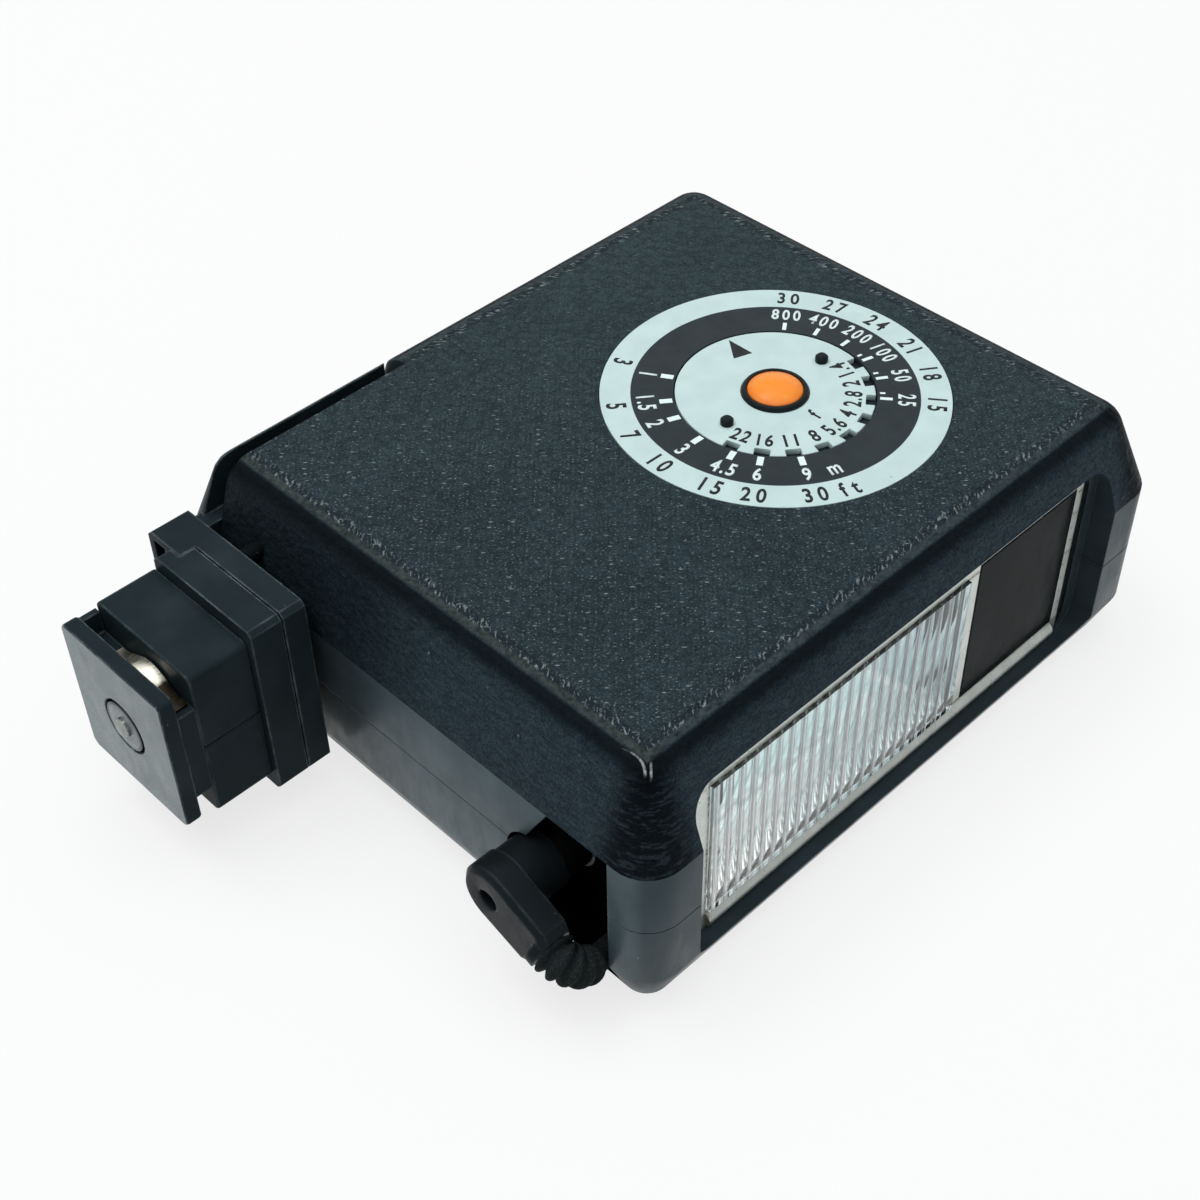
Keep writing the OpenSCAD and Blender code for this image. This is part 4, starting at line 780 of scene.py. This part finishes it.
# The test button with a fuller edge than its solid, over the same bore and flange
def button_profile():
    """Outline from the bore's roof round to the middle of the dome, as radius and height."""
    low, high = corners("test_button")
    flange_r = (high.x - low.x) / 2
    edge, shoulder = 0.35, DIAL.z + 0.55
    crown = BUTTON_R - edge
    points = [(0, BUTTON_ROOF), (BUTTON_BORE, BUTTON_ROOF), (BUTTON_BORE, low.z), (flange_r, low.z),
              (flange_r, low.z + BUTTON_FLANGE), (BUTTON_R, low.z + BUTTON_FLANGE)]
    edge_steps, dome_steps, dome_top = 6, 12, high.z - 0.02
    for i in range(edge_steps + 1):
        a = math.pi / 2 * i / edge_steps
        points.append((crown + edge * math.cos(a), shoulder - edge + edge * math.sin(a)))
    for i in range(1, dome_steps + 1):
        share = 1 - i / dome_steps
        points.append((crown * share, shoulder + (dome_top - shoulder) * (1 - share * share)))
    return points


bm = bmesh.new()
ring = [bm.verts.new(((DIAL.x + r) * MM, DIAL.y * MM, z * MM)) for r, z in button_profile()]
edges = [bm.edges.new(pair) for pair in zip(ring, ring[1:])]
bmesh.ops.spin(bm, geom=ring + edges, cent=DIAL * MM, axis=(0, 0, 1), angle=2 * math.pi, steps=64,
               use_merge=True)
bmesh.ops.remove_doubles(bm, verts=bm.verts, dist=1e-7)
bmesh.ops.recalc_face_normals(bm, faces=bm.faces)
button_mesh = bpy.data.meshes.new("button_cap")
bm.to_mesh(button_mesh)
bm.free()
button_mesh.materials.append(ORANGE)
button = bpy.data.objects.new("button_cap", button_mesh)
scene.collection.objects.link(button)
for poly in button_mesh.polygons:
    poly.use_smooth = True
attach(button, "button")
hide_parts("test_button")


# Smooth strain relief and lead along the same route as the solids
def curve_through(points, steps):
    """Points of a smooth curve through the given ones."""
    out = []
    for i in range(len(points) - 1):
        a, b, c, d = (points[min(max(k, 0), len(points) - 1)] for k in (i - 1, i, i + 1, i + 2))
        for j in range(steps):
            t = j / steps
            out.append(0.5 * (2 * b + (c - a) * t + (2 * a - 5 * b + 4 * c - d) * t * t
                              + (3 * b - a - 3 * c + d) * t * t * t))
    return out + [points[-1]]


def tube(name, path, radius, sides, material, replaced, up=(0, 0, 1)):
    """A round tube along points; radius gives its size from the share of the way."""
    verts, faces = [], []
    last = len(path) - 1
    for i, q in enumerate(path):
        t = (path[min(i + 1, last)] - path[max(i - 1, 0)]).normalized()
        u = t.cross(Vector(up)).normalized()
        w = u.cross(t)
        for j in range(sides):
            a = 2 * math.pi * j / sides
            verts.append((q + radius(i / last) * (u * math.cos(a) + w * math.sin(a))) * MM)
    for i in range(last):
        for j in range(sides):
            k = (j + 1) % sides
            faces.append([i * sides + j, i * sides + k, (i + 1) * sides + k, (i + 1) * sides + j])
    faces.append(list(range(sides)))
    faces.append([last * sides + j for j in reversed(range(sides))])
    me = bpy.data.meshes.new(name)
    me.from_pydata(verts, [], faces)
    for poly in me.polygons:
        poly.use_smooth = len(poly.vertices) == 4
    me.materials.append(material)
    obj = bpy.data.objects.new(name, me)
    scene.collection.objects.link(obj)
    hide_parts(replaced)
    return obj


TIP = PLUG - Vector((0, PLUG_REACH * math.cos(PLUG_DROOP), PLUG_REACH * math.sin(PLUG_DROOP)))
RELIEF = [TIP + Vector(v) for v in ((0, -0.2, -0.08), (0.1, -1.6, -0.5), (1.2, -2.5, -1.7),
                                    (3.2, -2.26, -3.52))]
LEAD = [TIP + Vector(v) for v in ((3.25, -2.25, -3.55), (4, -2.14, -3.99), (5.1, -1.72, -4.6),
                                  (8.2, -1.3, -5.42), (11.5, -1.16, -5.52))]
RIBS = 5


def ribbed(t):
    """Radius of the strain relief: ribs that shrink towards the lead, with narrow grooves."""
    groove = (0.5 + 0.5 * math.cos(2 * RIBS * math.pi * t)) ** 1.3
    return 2.55 - 0.5 * t - 0.75 * groove


for cable in (tube("strain_relief", curve_through(RELIEF, 24), ribbed, 28, RUBBER, "plug_relief"),
              tube("lead", curve_through(LEAD, 8), lambda t: LEAD_R, 20, RUBBER, "sync_lead")):
    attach(cable, "case")


# Springs: coils of wire in the boxes of the spring nodes
def spring(name, node, axis, turns, reverse=False):
    """A coil in a node's box, along axis, in place of the node."""
    low, high = corners(node)
    middle = (low + high) / 2
    aside, across = (k for k in range(3) if k != axis)
    r = (high[aside] - low[aside]) / 2 - SPRING_WIRE
    bottom, top = low[axis] + SPRING_WIRE, high[axis] - SPRING_WIRE
    steps_per_turn, seat = 20, 4 * SPRING_WIRE
    steps = steps_per_turn * turns
    path = []
    for i in range(steps + 1):
        turn = 2 * math.pi * turns * i / steps
        q = Vector((0, 0, 0))
        q[aside] = middle[aside] + r * math.cos(turn)
        q[across] = middle[across] + r * math.sin(turn)
        q[axis] = bottom + (top - bottom) * i / steps
        path.append(q)
    up = Vector((0, 0, 0))
    up[axis] = 1
    obj = tube(name, path, lambda t: SPRING_WIRE, 8, STEEL, node, up)
    start, end = middle.copy(), middle.copy()
    start[axis], end[axis] = low[axis] + seat, high[axis] - seat
    if reverse:
        start, end = end, start
    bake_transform(obj)


spring("button_coil", "button_spring", 2, 3)
spring("contact_coil", "contact_spring", 0, 4, reverse=True)


# Stage: pale floor, soft light and the camera
FLOOR_HALF, FLOOR_Z = 3, -0.00004
FLOOR_GREY, FLOOR_WHITE = 0.8, 0.76
HORIZON_LIGHT, OVERHEAD_LIGHT = 0.22, 2.1
SENSOR_MM, LENS_MM, CAMERA_REACH = 36.0, 56.67, 212.72
CAMERA_ANGLES = (-43.79, 44.07, -1.19)
CAMERA_AIM = Vector((28.87 - 42, 35.74 - 37, 16.35))


def direct(tree, light_path):
    """1 for rays that the camera, a gloss or a glass sends to the background."""
    seen_by = light_path.outputs["Is Camera Ray"]
    for ray in ("Is Glossy Ray", "Is Transmission Ray"):
        most = tree.nodes.new("ShaderNodeMath")
        most.operation = "MAXIMUM"
        tree.links.new(seen_by, most.inputs[0])
        tree.links.new(light_path.outputs[ray], most.inputs[1])
        seen_by = most.outputs[0]
    return seen_by


floor_mesh = bpy.data.meshes.new("floor")
floor_verts = [(x * FLOOR_HALF, y * FLOOR_HALF, FLOOR_Z) for x, y in ((-1, -1), (1, -1), (1, 1), (-1, 1))]
floor_mesh.from_pydata(floor_verts, [], [[0, 1, 2, 3]])
floor = bpy.data.objects.new("floor", floor_mesh)
scene.collection.objects.link(floor)
floor_paper = bpy.data.materials.new("floor_paper")
floor_paper.use_nodes = True
ft = floor_paper.node_tree
paper = ft.nodes["Principled BSDF"]
paper.inputs["Base Color"].default_value = (FLOOR_GREY, FLOOR_GREY, FLOOR_GREY, 1)
paper.inputs["Roughness"].default_value = 0.8
paper.inputs["Specular IOR Level"].default_value = 0.1
white_paper = ft.nodes.new("ShaderNodeEmission")
seen = ft.nodes.new("ShaderNodeLightPath")
share = ft.nodes.new("ShaderNodeMath")
share.operation = "MULTIPLY"
share.inputs[1].default_value = FLOOR_WHITE
ft.links.new(direct(ft, seen), share.inputs[0])
both = ft.nodes.new("ShaderNodeMixShader")
ft.links.new(share.outputs[0], both.inputs[0])
ft.links.new(paper.outputs[0], both.inputs[1])
ft.links.new(white_paper.outputs[0], both.inputs[2])
ft.links.new(both.outputs[0], ft.nodes["Material Output"].inputs["Surface"])
floor_mesh.materials.append(floor_paper)

world = bpy.data.worlds.new("studio")
scene.world = world
world.use_nodes = True
wt = world.node_tree
background = wt.nodes["Background"]
coord = wt.nodes.new("ShaderNodeTexCoord")
split = wt.nodes.new("ShaderNodeSeparateXYZ")
wt.links.new(coord.outputs["Generated"], split.inputs[0])
rise = wt.nodes.new("ShaderNodeMapRange")
rise.interpolation_type = "SMOOTHSTEP"
for key, v in (("From Min", 0.68), ("From Max", 0.9), ("To Min", HORIZON_LIGHT), ("To Max", OVERHEAD_LIGHT)):
    rise.inputs[key].default_value = v
wt.links.new(split.outputs[2], rise.inputs["Value"])
path = wt.nodes.new("ShaderNodeLightPath")
level = wt.nodes.new("ShaderNodeMath")
level.operation = "MAXIMUM"
wt.links.new(rise.outputs[0], level.inputs[0])
wt.links.new(direct(wt, path), level.inputs[1])
background.inputs["Color"].default_value = (0.97, 1.0, 1.0, 1)
wt.links.new(level.outputs[0], background.inputs["Strength"])


def lamp(name, place, target, size, power):
    """A white area light at place, turned to target."""
    light = bpy.data.lights.new(name, "AREA")
    light.shape = "RECTANGLE"
    light.size, light.size_y = size
    light.energy = power
    obj = bpy.data.objects.new(name, light)
    obj.location = place
    obj.rotation_euler = (Vector(target) - Vector(place)).to_track_quat("-Z", "Y").to_euler()
    scene.collection.objects.link(obj)


lamp("softbox", (-0.2, 0.25, 0.75), (0, 0, 0), (0.5, 0.4), 1.6)

camera = bpy.data.cameras.new("camera")
camera.sensor_width = SENSOR_MM
camera.lens = LENS_MM
camera.clip_start = 0.01
cam = bpy.data.objects.new("camera", camera)
scene.collection.objects.link(cam)
turn, lift, roll = (math.radians(v) for v in CAMERA_ANGLES)
back = Vector((math.sin(turn) * math.cos(lift), -math.cos(turn) * math.cos(lift), math.sin(lift)))
right = Vector((math.cos(turn), math.sin(turn), 0))
up = back.cross(right)
right, up = (math.cos(roll) * right + math.sin(roll) * up, -math.sin(roll) * right + math.cos(roll) * up)
place = CAMERA_AIM * MM + back * CAMERA_REACH * MM
cam.matrix_world = Matrix(((right.x, up.x, back.x, place.x), (right.y, up.y, back.y, place.y),
                           (right.z, up.z, back.z, place.z), (0, 0, 0, 1)))
scene.camera = cam
